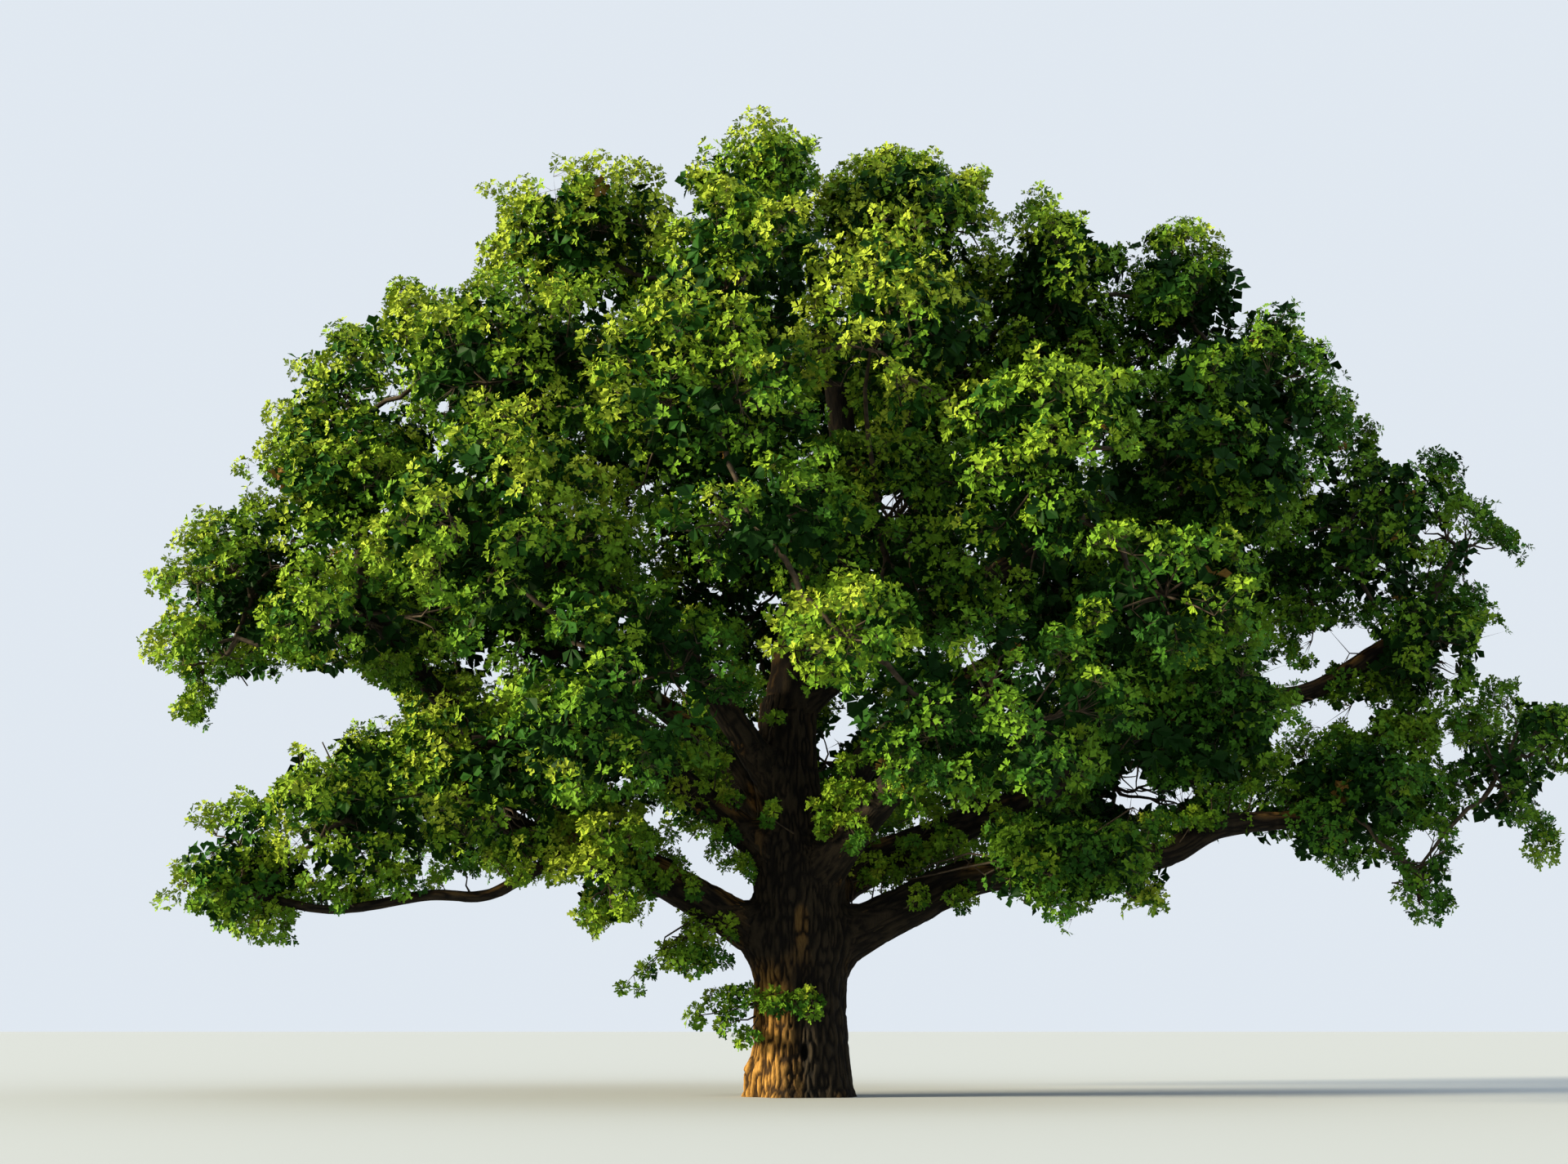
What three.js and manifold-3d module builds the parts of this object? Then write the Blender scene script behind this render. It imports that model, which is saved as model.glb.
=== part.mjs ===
// A large open-grown oak in full summer leaf: a short, stout trunk that forks low, twelve spreading
// boughs and a broad, low crown made of separate masses of foliage.
// Millimetres, +Z up, +X to the right of the usual view, +Y away from it. The origin is the middle of
// the flat cut under the trunk, at ground level.
import * as THREE from "three";
import { mergeVertices } from "three/addons/utils/BufferGeometryUtils.js";
import Module from "manifold-3d";

// Driving dimensions of the trunk
const FORK_HEIGHT = 4400;
const TRUNK_RADIUS = 840;
const FORK_RADIUS = 780;
const TRUNK_LEAN = -40; // sideways shift of the fork from the foot
const FLARE = 0.17; // extra radius at the foot, as a share of the trunk's
const FLARE_HEIGHT = 380;
const ROOT_LOBES = 5;
const LOBE_DEPTH = 0.5; // as a share of the flare
const LOBE_TURN = 2.6; // radians
const SWELL = 0.1; // extra radius where the lowest boughs leave
const SWELL_HEIGHT = 2900;
const SWELL_SPREAD = 700;
const GROOVE = 0.12; // depth of the groove down the near side, as a share of the radius
const GROOVE_BEARING = -88; // degrees from +X
const GROOVE_WIDTH = 13; // degrees
const TRUNK_SIDES = 24;
const TRUNK_RINGS = 8;
const TRUNK_TAPER_POWER = 3; // the higher, the nearer to the fork the trunk narrows
const TRUNK_RING_POWER = 1.35; // the higher, the closer the rings stand at the foot

// Driving dimensions of the limbs and of the foliage
const BOUGH_SIDES = 8;
const BOUGH_STEP = 1300; // length of one straight stretch of a bough
const COLLAR = 0.3; // extra radius where a bough leaves its parent, as a share of its own
const COLLAR_LENGTH = 900;
const BOUGH_TAPER_POWER = 0.8;
const LUMP = 0.08; // height of the lumps on a mass, as a share of its size
const LUMP_WAVES = [3.1, 3.7, 4.3]; // how close the lumps stand along X, Y and Z
const LUMP_TURNS = [2.3, 1.7, 2.9]; // how far they shift from one mass to the next, in radians
const BACK_RISE_POWER = 4; // the higher, the fewer masses at the back are raised
const LARGE_MASS = 1420; // a mass whose least half-size is under this gets fewer facets
const JOINT_GAP = 0.4; // clearance between neighbouring solids

// Each bough starts inside its parent and ends inside the mass that it carries.
const BOUGHS = [
  { name: "bough_leader", radii: [590, 190],
    route: [[-40, 0, 3900], [-230, 0, 6400], [100, 0, 8800], [800, -200, 11400], [300, -900, 15400]] },
  { name: "bough_right_low", radii: [450, 170],
    route: [[150, 0, 2450], [1900, 0, 3330], [3200, 0, 3900], [5000, 0, 4000], [6700, 0, 4300],
      [7600, 0, 4750], [9300, 0, 4950]] },
  { name: "bough_left_low", radii: [410, 200],
    route: [[-150, -100, 2450], [-1900, -350, 3500], [-3100, -700, 4100], [-4600, -1000, 4450],
      [-6000, -1500, 5300]] },
  { name: "bough_right_middle", radii: [400, 150],
    route: [[100, 200, 3500], [1500, 800, 4250], [2800, 1000, 4800], [4200, 1000, 5350],
      [5400, 1000, 6150], [7300, 800, 7150], [9500, 500, 7350], [11500, 200, 8500]] },
  { name: "bough_left_rear", radii: [290, 160],
    route: [[-2500, -450, 3800], [-3400, 100, 4350], [-4450, 900, 5080], [-5500, 1400, 6000],
      [-6900, 1100, 7400], [-8000, -900, 8800]] },
  { name: "bough_left_middle", radii: [340, 130],
    route: [[-100, -150, 3900], [-1400, -500, 4950], [-2700, -1000, 5850], [-4200, -1500, 6100],
      [-5800, -1800, 6100]] },
  { name: "bough_right_high", radii: [330, 140],
    route: [[-100, 0, 7000], [1800, 0, 8600], [3200, 200, 9300], [5000, 300, 10500], [9000, 0, 13000]] },
  { name: "bough_front_left", radii: [300, 130],
    route: [[-200, -100, 5200], [-1500, -1500, 6900], [-2500, -3400, 7900], [-4500, -6000, 8700]] },
  { name: "bough_front_right", radii: [360, 150],
    route: [[150, -150, 3700], [1300, -1700, 5000], [2500, -4000, 6200], [3000, -7000, 6300]] },
  { name: "bough_back_left", radii: [360, 150],
    route: [[-100, 150, 4000], [-1500, 1700, 6300], [-3700, 3200, 8100], [-6200, 4200, 9300]] },
  { name: "bough_back_right", radii: [360, 150],
    route: [[100, 150, 4100], [1500, 1900, 6500], [3700, 3400, 8300], [6200, 4100, 9400]] },
  { name: "bough_left_sweep", radii: [125, 70],
    route: [[-3300, -800, 4100], [-4400, -1900, 3950], [-5400, -2000, 3420], [-6400, -2000, 3420],
      [-8100, -1900, 3180], [-9700, -1600, 3500]] },
];

// Each mass of foliage: the middle of it, and half its size along X, Y and Z.
const MASSES = [
  { name: "foliage_crest", at: [-650, -2000, 16250], half: [1600, 2100, 1700] },
  { name: "foliage_crest_right", at: [2050, -1000, 15950], half: [2100, 2200, 1650] },
  { name: "foliage_crest_left", at: [-3950, -1900, 15050], half: [1750, 2500, 1700] },
  { name: "foliage_crest_hollow", at: [-2300, -900, 14900], half: [1600, 1900, 1800] },
  { name: "foliage_shoulder_right", at: [5000, 0, 15050], half: [1800, 2600, 1900] },
  { name: "foliage_shoulder_right_outer", at: [7100, 0, 14550], half: [1650, 2400, 1850] },
  { name: "foliage_right_high", at: [8650, 0, 12600], half: [1800, 2900, 1850] },
  { name: "foliage_shoulder_left", at: [-6500, -900, 13200], half: [1750, 2800, 1650] },
  { name: "foliage_left_high", at: [-8500, -400, 12400], half: [1600, 2700, 1700] },
  { name: "foliage_left_middle", at: [-7850, -2200, 10250], half: [1950, 2200, 1600] },
  { name: "foliage_left_outer", at: [-10250, 200, 9350], half: [1550, 2700, 1550] },
  { name: "foliage_left_tip", at: [-10800, -300, 7850], half: [1400, 2000, 950] },
  { name: "foliage_left_shelf", at: [-7750, -1700, 8500], half: [2150, 2700, 1250] },
  { name: "foliage_left_upper", at: [-4500, -4400, 12000], half: [2000, 2000, 1900] },
  { name: "foliage_arm_tip", at: [-9750, -1500, 3850], half: [1600, 1900, 1300] },
  { name: "foliage_arm_middle", at: [-7800, -1300, 4800], half: [1850, 2600, 1550] },
  { name: "foliage_arm_inner", at: [-5600, -1300, 5500], half: [1900, 2700, 1600] },
  { name: "foliage_under_left", at: [-3350, -2100, 3850], half: [1000, 1300, 1150], wraps: true },
  { name: "foliage_sprig", at: [-1850, -800, 2500], half: [950, 700, 700], wraps: true },
  { name: "foliage_right_outer_high", at: [10350, 300, 10400], half: [2000, 3000, 1900] },
  { name: "foliage_right_outer", at: [12150, 0, 10050], half: [1200, 1700, 1250] },
  { name: "foliage_right_outer_middle", at: [11400, 0, 8200], half: [1400, 2400, 1500] },
  { name: "foliage_right_tip", at: [12950, -200, 5950], half: [1400, 2300, 1700] },
  { name: "foliage_right_low", at: [10100, 0, 5200], half: [1900, 2800, 1300] },
  { name: "foliage_right_hanging", at: [11150, -400, 3950], half: [750, 950, 1200] },
  { name: "foliage_upper_middle", at: [-1000, -4000, 13700], half: [1900, 2200, 1900] },
  { name: "foliage_front_spire", at: [1600, -5700, 12200], half: [1500, 1700, 2200] },
  { name: "foliage_front_left_high", at: [-1700, -6400, 10900], half: [1900, 1900, 1700] },
  { name: "foliage_front_right_high", at: [3900, -6200, 9700], half: [1900, 2300, 1900] },
  { name: "foliage_front_middle", at: [-850, -7000, 8850], half: [1700, 1500, 1400] },
  { name: "foliage_centre", at: [1300, -3500, 9300], half: [2000, 2200, 2000] },
  { name: "foliage_front_left", at: [-4700, -6100, 8900], half: [2000, 2100, 1700] },
  { name: "foliage_front_right", at: [5500, -6200, 7700], half: [1800, 2000, 1500] },
  { name: "foliage_front_hanging", at: [650, -7500, 6900], half: [1150, 1400, 1000] },
  { name: "foliage_front_low_left", at: [-2800, -6300, 6450], half: [2050, 2100, 1600] },
  { name: "foliage_front_low_right", at: [2750, -6700, 5950], half: [2050, 2100, 1600] },
  { name: "foliage_front_outer_right", at: [6800, -3300, 10800], half: [2200, 2900, 2000] },
  { name: "foliage_front_low_outer", at: [6500, -3700, 6500], half: [2200, 2600, 1750] },
  { name: "foliage_under_right", at: [4450, -2400, 4000], half: [1850, 2400, 1100], wraps: true },
];

// The side away from the usual view, in rings round the trunk: each mass by its bearing from +X.
const BACK_RINGS = [
  { name: "foliage_back_low", reach: [8400, 7600], height: 6200, rise: 500,
    half: [3600, 2800, 2000], bearings: [38, 90, 142] },
  { name: "foliage_back_middle", reach: [8200, 6800], height: 9900, rise: 700,
    half: [3500, 2800, 2500], bearings: [36, 90, 144] },
  { name: "foliage_back_high", reach: [4600, 3500], height: 13200, rise: 300,
    half: [3200, 2800, 2300], bearings: [50, 128] },
];

const wasm = await Module();
wasm.setup();

const barkMaterial = () => new THREE.MeshStandardMaterial({ color: 0x5a4a38, roughness: 0.95, metalness: 0 });
const leafMaterial = () => new THREE.MeshStandardMaterial({ color: 0x4e7a24, roughness: 0.75, metalness: 0 });

// A closed indexed geometry as a solid.
function solidOf(geometry) {
  const bare = geometry.clone();
  bare.deleteAttribute("normal");
  bare.deleteAttribute("uv");
  const merged = mergeVertices(bare, 0.01);
  return new wasm.Manifold(new wasm.Mesh({
    numProp: 3,
    vertProperties: new Float32Array(merged.getAttribute("position").array),
    triVerts: new Uint32Array(merged.index.array),
  }));
}

// A solid as a named mesh of its own.
function meshOf(solid, name, material) {
  const { vertProperties, triVerts } = solid.getMesh();
  const geometry = new THREE.BufferGeometry();
  geometry.setAttribute("position", new THREE.BufferAttribute(new Float32Array(vertProperties), 3));
  geometry.setIndex(new THREE.BufferAttribute(new Uint32Array(triVerts), 1));
  const mesh = new THREE.Mesh(geometry, material);
  mesh.name = name;
  return mesh;
}

// Rings of points, from the first to the last, closed into one skin with a flat fan at each end.
function skinOf(rings) {
  const sides = rings[0].length;
  const points = rings.flat();
  const faces = [];
  for (let k = 0; k + 1 < rings.length; k += 1) {
    for (let i = 0; i < sides; i += 1) {
      const [a, b] = [k * sides + i, k * sides + ((i + 1) % sides)];
      faces.push(a, b, b + sides, a, b + sides, a + sides);
    }
  }
  const last = (rings.length - 1) * sides;
  for (let i = 1; i + 1 < sides; i += 1) {
    faces.push(0, i + 1, i, last, last + i, last + i + 1);
  }
  const geometry = new THREE.BufferGeometry().setFromPoints(points);
  geometry.setIndex(faces);
  return geometry;
}

// The trunk's radius at a height and a bearing: root flare, groove and the swelling under the boughs.
function trunkRadius(height, bearing) {
  const taper = THREE.MathUtils.lerp(TRUNK_RADIUS, FORK_RADIUS, (height / FORK_HEIGHT) ** TRUNK_TAPER_POWER);
  const lobes = 1 + LOBE_DEPTH * Math.cos(ROOT_LOBES * bearing + LOBE_TURN);
  const flare = FLARE * lobes * Math.exp(-height / FLARE_HEIGHT);
  const swell = SWELL * Math.exp(-(((height - SWELL_HEIGHT) / SWELL_SPREAD) ** 2));
  const turn = THREE.MathUtils.radToDeg(bearing) - 360 - GROOVE_BEARING;
  const groove = GROOVE * Math.exp(-((turn / GROOVE_WIDTH) ** 2));
  return taper * (1 + flare + swell - groove);
}

function trunkSolid(extra) {
  const rings = [];
  for (let k = 0; k <= TRUNK_RINGS; k += 1) {
    const height = FORK_HEIGHT * (k / TRUNK_RINGS) ** TRUNK_RING_POWER;
    const shift = TRUNK_LEAN * (height / FORK_HEIGHT);
    const ring = [];
    for (let i = 0; i < TRUNK_SIDES; i += 1) {
      const bearing = (2 * Math.PI * i) / TRUNK_SIDES;
      const radius = trunkRadius(height, bearing) + extra;
      const top = k === TRUNK_RINGS ? extra : 0;
      const [x, y] = [shift + radius * Math.cos(bearing), radius * Math.sin(bearing)];
      ring.push(new THREE.Vector3(x, y, height + top));
    }
    rings.push(ring);
  }
  return solidOf(skinOf(rings));
}

// A bough: round rings along a smooth route, thickest at the collar and tapering to the tip.
function boughSolid({ route, radii }, extra) {
  const curve = new THREE.CatmullRomCurve3(route.map((p) => new THREE.Vector3(...p)), false, "centripetal");
  const length = curve.getLength();
  const steps = Math.max(4, Math.round(length / BOUGH_STEP));
  const { normals, binormals } = curve.computeFrenetFrames(steps);
  const rings = [];
  for (let k = 0; k <= steps; k += 1) {
    const share = k / steps;
    const beyond = k === 0 ? -extra : extra;
    const middle = curve.getPointAt(share);
    if (k === 0 || k === steps) middle.addScaledVector(curve.getTangentAt(share), beyond);
    const collar = 1 + COLLAR * Math.exp(-(share * length) / COLLAR_LENGTH);
    const bare = THREE.MathUtils.lerp(radii[0], radii[1], share ** BOUGH_TAPER_POWER);
    const radius = bare * collar + extra;
    const ring = [];
    for (let i = 0; i < BOUGH_SIDES; i += 1) {
      const turn = (2 * Math.PI * i) / BOUGH_SIDES;
      ring.push(middle.clone()
        .addScaledVector(normals[k], radius * Math.cos(turn))
        .addScaledVector(binormals[k], radius * Math.sin(turn)));
    }
    rings.push(ring);
  }
  return solidOf(skinOf(rings));
}

// A mass before it is cut: an uneven ball, its lumps set by the number of the mass.
function massSolid({ at, half }, number, extra) {
  const facets = Math.min(...half) < LARGE_MASS ? 2 : 3;
  const geometry = new THREE.OctahedronGeometry(1, facets);
  const place = geometry.getAttribute("position");
  const point = new THREE.Vector3();
  for (let i = 0; i < place.count; i += 1) {
    point.fromBufferAttribute(place, i);
    const waves = point.toArray().map((value, k) => Math.sin(LUMP_WAVES[k] * value + LUMP_TURNS[k] * number));
    point.multiplyScalar(1 + LUMP * (waves[0] + waves[1] + waves[2]));
    const reach = half.map((size) => size + extra);
    place.setXYZ(i, at[0] + point.x * reach[0], at[1] + point.y * reach[1], at[2] + point.z * reach[2]);
  }
  return solidOf(geometry);
}

// How far a mass reaches from its middle along a direction.
function reachAlong({ half }, direction) {
  const shares = [direction.x / half[0], direction.y / half[1], direction.z / half[2]];
  return 1 / Math.hypot(...shares);
}

// The plane that parts two masses, by how far each reaches towards the other.
function partingPlane(a, b) {
  const from = new THREE.Vector3(...a.at);
  const normal = new THREE.Vector3(...b.at).sub(from);
  const apart = normal.length();
  normal.normalize();
  const [mine, theirs] = [reachAlong(a, normal), reachAlong(b, normal)];
  const along = (apart * apart + mine * mine - theirs * theirs) / (2 * apart);
  return { normal, offset: normal.dot(from) + along };
}

function backMasses() {
  return BACK_RINGS.flatMap(({ name, reach, height, rise, half, bearings }) => bearings.map((degrees, i) => {
    const bearing = THREE.MathUtils.degToRad(degrees);
    const [x, y] = [reach[0] * Math.cos(bearing), reach[1] * Math.sin(bearing)];
    const at = [x, y, height + rise * Math.sin(bearing) ** BACK_RISE_POWER];
    return { name: `${name}_${i + 1}`, at, half };
  }));
}

// Every mass, cut flat where it meets its neighbours. The cut is set back by half the gap less extra.
function cutMasses(masses, extra) {
  const whole = masses.map((mass, i) => massSolid(mass, i, extra));
  return whole.map((solid, i) => {
    let cut = solid;
    whole.forEach((other, j) => {
      if (i === j || solid.intersect(other).isEmpty()) return;
      const { normal, offset } = partingPlane(masses[i], masses[j]);
      const keep = normal.clone().negate().toArray();
      cut = cut.trimByPlane(keep, -(offset - JOINT_GAP / 2 + extra));
    });
    return cut;
  });
}

function largestPiece(solid) {
  return solid.decompose().reduce((best, piece) => (piece.volume() > best.volume() ? piece : best));
}

const tree = new THREE.Group();
const trunk = trunkSolid(0);
tree.add(meshOf(trunk, "trunk", barkMaterial()));

const masses = [...MASSES, ...backMasses()];
const foliage = cutMasses(masses, 0);
const grownFoliage = cutMasses(masses, JOINT_GAP);

// Each bough is cut clear of the trunk, of the boughs before it and of the masses that it enters.
let limbs = trunkSolid(JOINT_GAP);
for (const bough of BOUGHS) {
  let cut = boughSolid(bough, 0).subtract(limbs);
  masses.forEach((mass, i) => {
    if (!mass.wraps) cut = cut.subtract(grownFoliage[i]);
  });
  tree.add(meshOf(largestPiece(cut), bough.name, barkMaterial()));
  limbs = limbs.add(boughSolid(bough, JOINT_GAP));
}

masses.forEach((mass, i) => {
  const solid = mass.wraps ? largestPiece(foliage[i].subtract(limbs)) : foliage[i];
  tree.add(meshOf(solid, mass.name, leafMaterial()));
});

export default tree;
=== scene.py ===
import math
from itertools import product

import bpy
import numpy as np
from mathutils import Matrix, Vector
from mathutils.bvhtree import BVHTree


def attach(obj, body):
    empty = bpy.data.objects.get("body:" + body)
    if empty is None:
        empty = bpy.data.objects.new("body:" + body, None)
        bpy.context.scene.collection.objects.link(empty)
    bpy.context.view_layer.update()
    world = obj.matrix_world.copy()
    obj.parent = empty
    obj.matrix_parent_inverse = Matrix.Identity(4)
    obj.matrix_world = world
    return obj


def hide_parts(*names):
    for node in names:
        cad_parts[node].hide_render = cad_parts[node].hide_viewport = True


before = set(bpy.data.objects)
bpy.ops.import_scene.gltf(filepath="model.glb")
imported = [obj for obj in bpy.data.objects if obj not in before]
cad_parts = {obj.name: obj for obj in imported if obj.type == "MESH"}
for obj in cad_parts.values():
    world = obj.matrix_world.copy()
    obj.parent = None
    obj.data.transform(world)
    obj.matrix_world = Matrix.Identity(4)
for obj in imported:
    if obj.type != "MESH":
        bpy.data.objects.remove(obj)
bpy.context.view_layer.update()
rng = np.random.default_rng(27)
UP = np.array((0.0, 0.0, 1.0))

# The photograph's camera: its frame and focal length in pixels, and where it stood
FRAME_WIDTH, FRAME_HEIGHT = 1920, 1425
FOCAL_LENGTH = 2501
HORIZON_ROW = 1262
CAMERA_AT = np.array((-0.3, -37.5, 1.14))
CAMERA_PITCH = math.atan((HORIZON_ROW - FRAME_HEIGHT / 2) / FOCAL_LENGTH)

# Trunk, as in the model, with the finer shapes of the bark
TRUNK_RADIUS = 0.84
FORK_RADIUS = 0.76
FORK_HEIGHT = 4.4
TRUNK_TOP = 7.2
LEADER_OVERLAP = 0.35
LEADER_TIP, LEADER_SPREAD = 0.2, 0.4  # its radius at the tip, and how much more at the fork
LEADER_TAPER = (3.6, 15.6)  # heights between which it tapers
FORK_BLEND = (3.6, 5.4)  # heights between which the trunk becomes the leader
TRUNK_COLUMNS = 264
LEADER_COLUMNS = 40
BOUGH_COLUMN, BOUGH_COLUMNS = 0.036, (14, 84)  # width of a bough's column, and the limits of how many
TRUNK_ROW = 0.042
FLARE = 0.16
FLARE_HEIGHT = 0.38
FILLET = 0.3  # how softly the trunk runs out into a bough, and how far from its side and along the bough
FILLET_REACH = 1.0
FILLET_STRETCH = 2.4
FILLET_NEAR, FILLET_BELOW = 0.5, 6  # where a bough starts that has one
GROOVE_BEARING = math.radians(-88)
GROOVE_DEPTH, GROOVE_WIDTH = 0.15, 11  # as a share of the radius, and in degrees
SWELL, SWELL_HEIGHT, SWELL_REACH = 0.08, 2.9, 0.7  # below the boughs
KNOT = {"bearing": math.radians(-84), "height": 0.78, "size": (0.085, 0.15), "depth": 0.16}
KNOT_LIP = 0.035
BURR = {"bearing": math.radians(-172), "height": 0.42, "size": (0.3, 0.26), "depth": 0.12}

# Bark relief: a ridge's width, length and height on the trunk, and a flute's width and height
RIDGE_WIDTH = 0.06
RIDGE_LENGTH = 0.27
RIDGE_HEIGHT = 0.06
FLUTE_WIDTH = 0.5
FLUTE_HEIGHT = 0.05
BEND, BEND_SCALE = 0.12, (3.1, 3.1, 1.3)  # how far ridges bend aside, and how often in a metre
LUMP, LUMP_SCALE = 0.22, (2.2, 2.2, 0.9)  # the same for a bough's thickness, as a share of it
BARK_MEAN = 0.55  # the height in the relief at which the bark is as thick as in the model
OCHRE_PATCHES = (2.6, 2.6, 1.3)  # patches of ochre to a metre, across and along
PAINTED_SUN_SIDE, PAINTED_SUN_HEIGHT = (0.02, -0.5), (2.5, 1.7)  # painted sunlight: stretches over which ochre covers the trunk's lit left side, up to the crown's shadow

# Bark colours from fissure to ridge, near black in the fissures as painted shade: plain, of twigs, and where
# growth and painted sunlight cover it
WOOD = [(0.0, (0.0015, 0.001, 0.001)), (0.35, (0.006, 0.0045, 0.003)), (0.75, (0.022, 0.016, 0.009)),
        (1.0, (0.045, 0.034, 0.02))]
TWIG_BARK = [(0.3, (0.02, 0.014, 0.009)), (0.7, (0.075, 0.055, 0.034))]
SUNLIT_AND_GROWN = [(0.0, (0.006, 0.003, 0.001)), (0.3, (0.03, 0.014, 0.003)), (0.6, (0.2, 0.1, 0.02)),
         (1.0, (0.5, 0.28, 0.07))]

# The route of the trunk and leader, and the boughs' radii at the start and the end and their routes, as
# in the model
AXIS = [(0, 0, 0), (-0.02, 0, 2.2), (-0.04, 0, 3.9), (-0.23, 0, 6.4), (0.1, 0, 8.8),
        (0.8, -0.2, 11.4), (0.3, -0.9, 15.4)]
BOUGHS = {
    "bough_right_low": (0.46, 0.17, [
        (0.15, 0, 2.45), (1.9, 0, 3.33), (3.2, 0, 3.9), (5, 0, 4), (6.7, 0, 4.3), (7.6, 0, 4.75),
        (9.3, 0, 4.95)]),
    "bough_left_low": (0.41, 0.2, [
        (-0.15, -0.1, 2.45), (-1.9, -0.35, 3.5), (-3.1, -0.7, 4.1), (-4.6, -1, 4.45),
        (-6, -1.5, 5.3)]),
    "bough_right_middle": (0.4, 0.15, [
        (0.1, 0.2, 3.5), (1.5, 0.8, 4.25), (2.8, 1, 4.8), (4.2, 1, 5.35), (5.4, 1, 6.15),
        (7.3, 0.8, 7.15), (9.5, 0.5, 7.35), (11.5, 0.2, 8.5)]),
    "bough_left_rear": (0.29, 0.16, [
        (-2.5, -0.45, 3.8), (-3.4, 0.1, 4.35), (-4.45, 0.9, 5.08), (-5.5, 1.4, 6), (-6.9, 1.1, 7.4),
        (-8, -0.9, 8.8)]),
    "bough_left_middle": (0.34, 0.13, [
        (-0.1, -0.15, 3.9), (-1.4, -0.5, 4.95), (-2.7, -1, 5.85), (-4.2, -1.5, 6.1),
        (-5.8, -1.8, 6.1)]),
    "bough_right_high": (0.33, 0.14, [
        (-0.1, 0, 7), (1.8, 0, 8.6), (3.2, 0.2, 9.3), (5, 0.3, 10.5), (9, 0, 13)]),
    "bough_front_left": (0.3, 0.13, [
        (-0.2, -0.1, 5.2), (-1.5, -1.5, 6.9), (-2.5, -3.4, 7.9), (-4.5, -6, 8.7)]),
    "bough_front_right": (0.36, 0.15, [
        (0.15, -0.15, 3.7), (1.3, -1.7, 5), (2.5, -4, 6.2), (3, -7, 6.3)]),
    "bough_back_left": (0.36, 0.15, [
        (-0.1, 0.15, 4), (-1.5, 1.7, 6.3), (-3.7, 3.2, 8.1), (-6.2, 4.2, 9.3)]),
    "bough_back_right": (0.36, 0.15, [
        (0.1, 0.15, 4.1), (1.5, 1.9, 6.5), (3.7, 3.4, 8.3), (6.2, 4.1, 9.4)]),
    "bough_left_sweep": (0.125, 0.07, [
        (-3.3, -0.8, 4.1), (-4.4, -1.9, 3.95), (-5.4, -2, 3.42), (-6.4, -2, 3.42),
        (-8.1, -1.9, 3.18), (-9.7, -1.6, 3.5)]),
}
COLLAR = 0.35
COLLAR_LENGTH = 0.8
BOUGH_ROW = 0.1

# Foliage: clumps on the masses' surfaces, fill behind them, and shoots on the bare limbs
CLUMP_RADIUS = (0.45, 0.85)
CLUMP_SPACING = 1.62  # as a share of a clump's radius
INNER_SPACING = 1.3  # how much wider they stand where the crown faces inwards
CLUMP_WAVE = 2.0  # metres from one swell of the foliage to the next
CLUMP_LIFT = 2.3  # height of the swells, before noise takes most of it
LIFT_LIMITS = (-1.1, 0.35)
SEAM_LIFT = 0.5  # how far clumps move out to close the notch between two masses
SEAM_REACH = 0.9
FILL_RADIUS = 0.65
FILL_SPACING = 0.92
FILL_DEPTH = (0.7, 3.2)
SURFACE_TRIES, FILL_TRIES = 16, 2.2  # places tried on a square metre and in a cubic metre
FULL_WIDTH, LEAST_SCALE = 2.6, 0.6  # the least width of a mass with clumps of full size
CLUMP_SINK = 0.16
SHOOT_SPACING = 0.21
LEADER_SHOOT_SPACING = 0.6
SHOOT_LENGTH, SHOOT_SIZE = (0.15, 0.65), (0.22, 0.38)
PIECE_LIMIT = 190_000  # triangles in one joined piece
SHOOTS = "shoots"  # the owner of leaves that stand for no mass

# Layers of sprays on a clump of full size: how many, over which tilts from its axis, how far out as a share
# of its radius, how wide each is, then its tufts, the leaves in a tuft, their length and their outline
LAYERS = {
    "outer": (10, (0, 98), (0.45, 0.86), 0.3, 6, 5, 0.137, "outer"),
    "inner": (4, (30, 150), (0.0, 0.36), 0.36, 5, 5, 0.22, "inner"),
    "fill": (5, (0, 180), (0.2, 1.0), 0.42, 5, 5, 0.28, "inner"),
    "shoot": (3, (0, 120), (0.3, 0.9), 0.17, 5, 5, 0.13, "outer"),
}
SPRAY_SHAPE = (1.15, 1.15, 0.8)  # sprays are wider than they are tall
SOLID_CLUMP = 0.46  # clumps larger than this have an inner layer
SPRAY_TILTS = (0, 118)  # from its axis, over which its tufts are spread
TUFT_REACH = (0.65, 1.1)  # as a share of the spray's radius
COVER = 0.2  # how far inside the crown's surface the inner leaves stay
LEAST_SPRAY = 0.5  # the share of its tufts that a window has to leave of a spray
LEAST_CLUMP = 2  # the sprays that it has to leave of a clump
LONG_SHOOT_SHARE = 0.12
LONG_SHOOT = 0.32
SPRAY_SIZES = (0.75, 1.15)
LEAF_DROOP = 0.14
LEAF_LIFT = (math.radians(-8), math.radians(45))
LEAF_TURN, LEAF_ROLL = 0.25, 0.4  # spread in radians
LEAF_SIZES, LEAF_WIDTHS = (0.78, 1.15), (0.85, 1.1)
STALK = 0.02

# Kinds of branch: how many sides, how many points along them, and how much they wander for their length
STEM, LIMB, TWIG = (7, 9, 0.018), (5, 6, 0.03), (4, 4, 0.04)
STEM_END, LIMB_START, LIMB_END = 0.055, 0.05, 0.028  # radii, and so are the next
TWIG_RADII, SHOOT_RADII = (0.024, 0.012), (0.02, 0.008)
SPRAY_TWIG, TUFT_TWIG = 0.01, 0.005
LIMB_CLUMPS = 6  # the clumps that a limb feeds
STEM_SHARE, LIMB_SHARE = 0.62, 0.75  # of its parent's radius, at most
STEM_LEAST, STEM_GAIN = 0.05, 0.03  # radius, and how much more for each metre of its length

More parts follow.
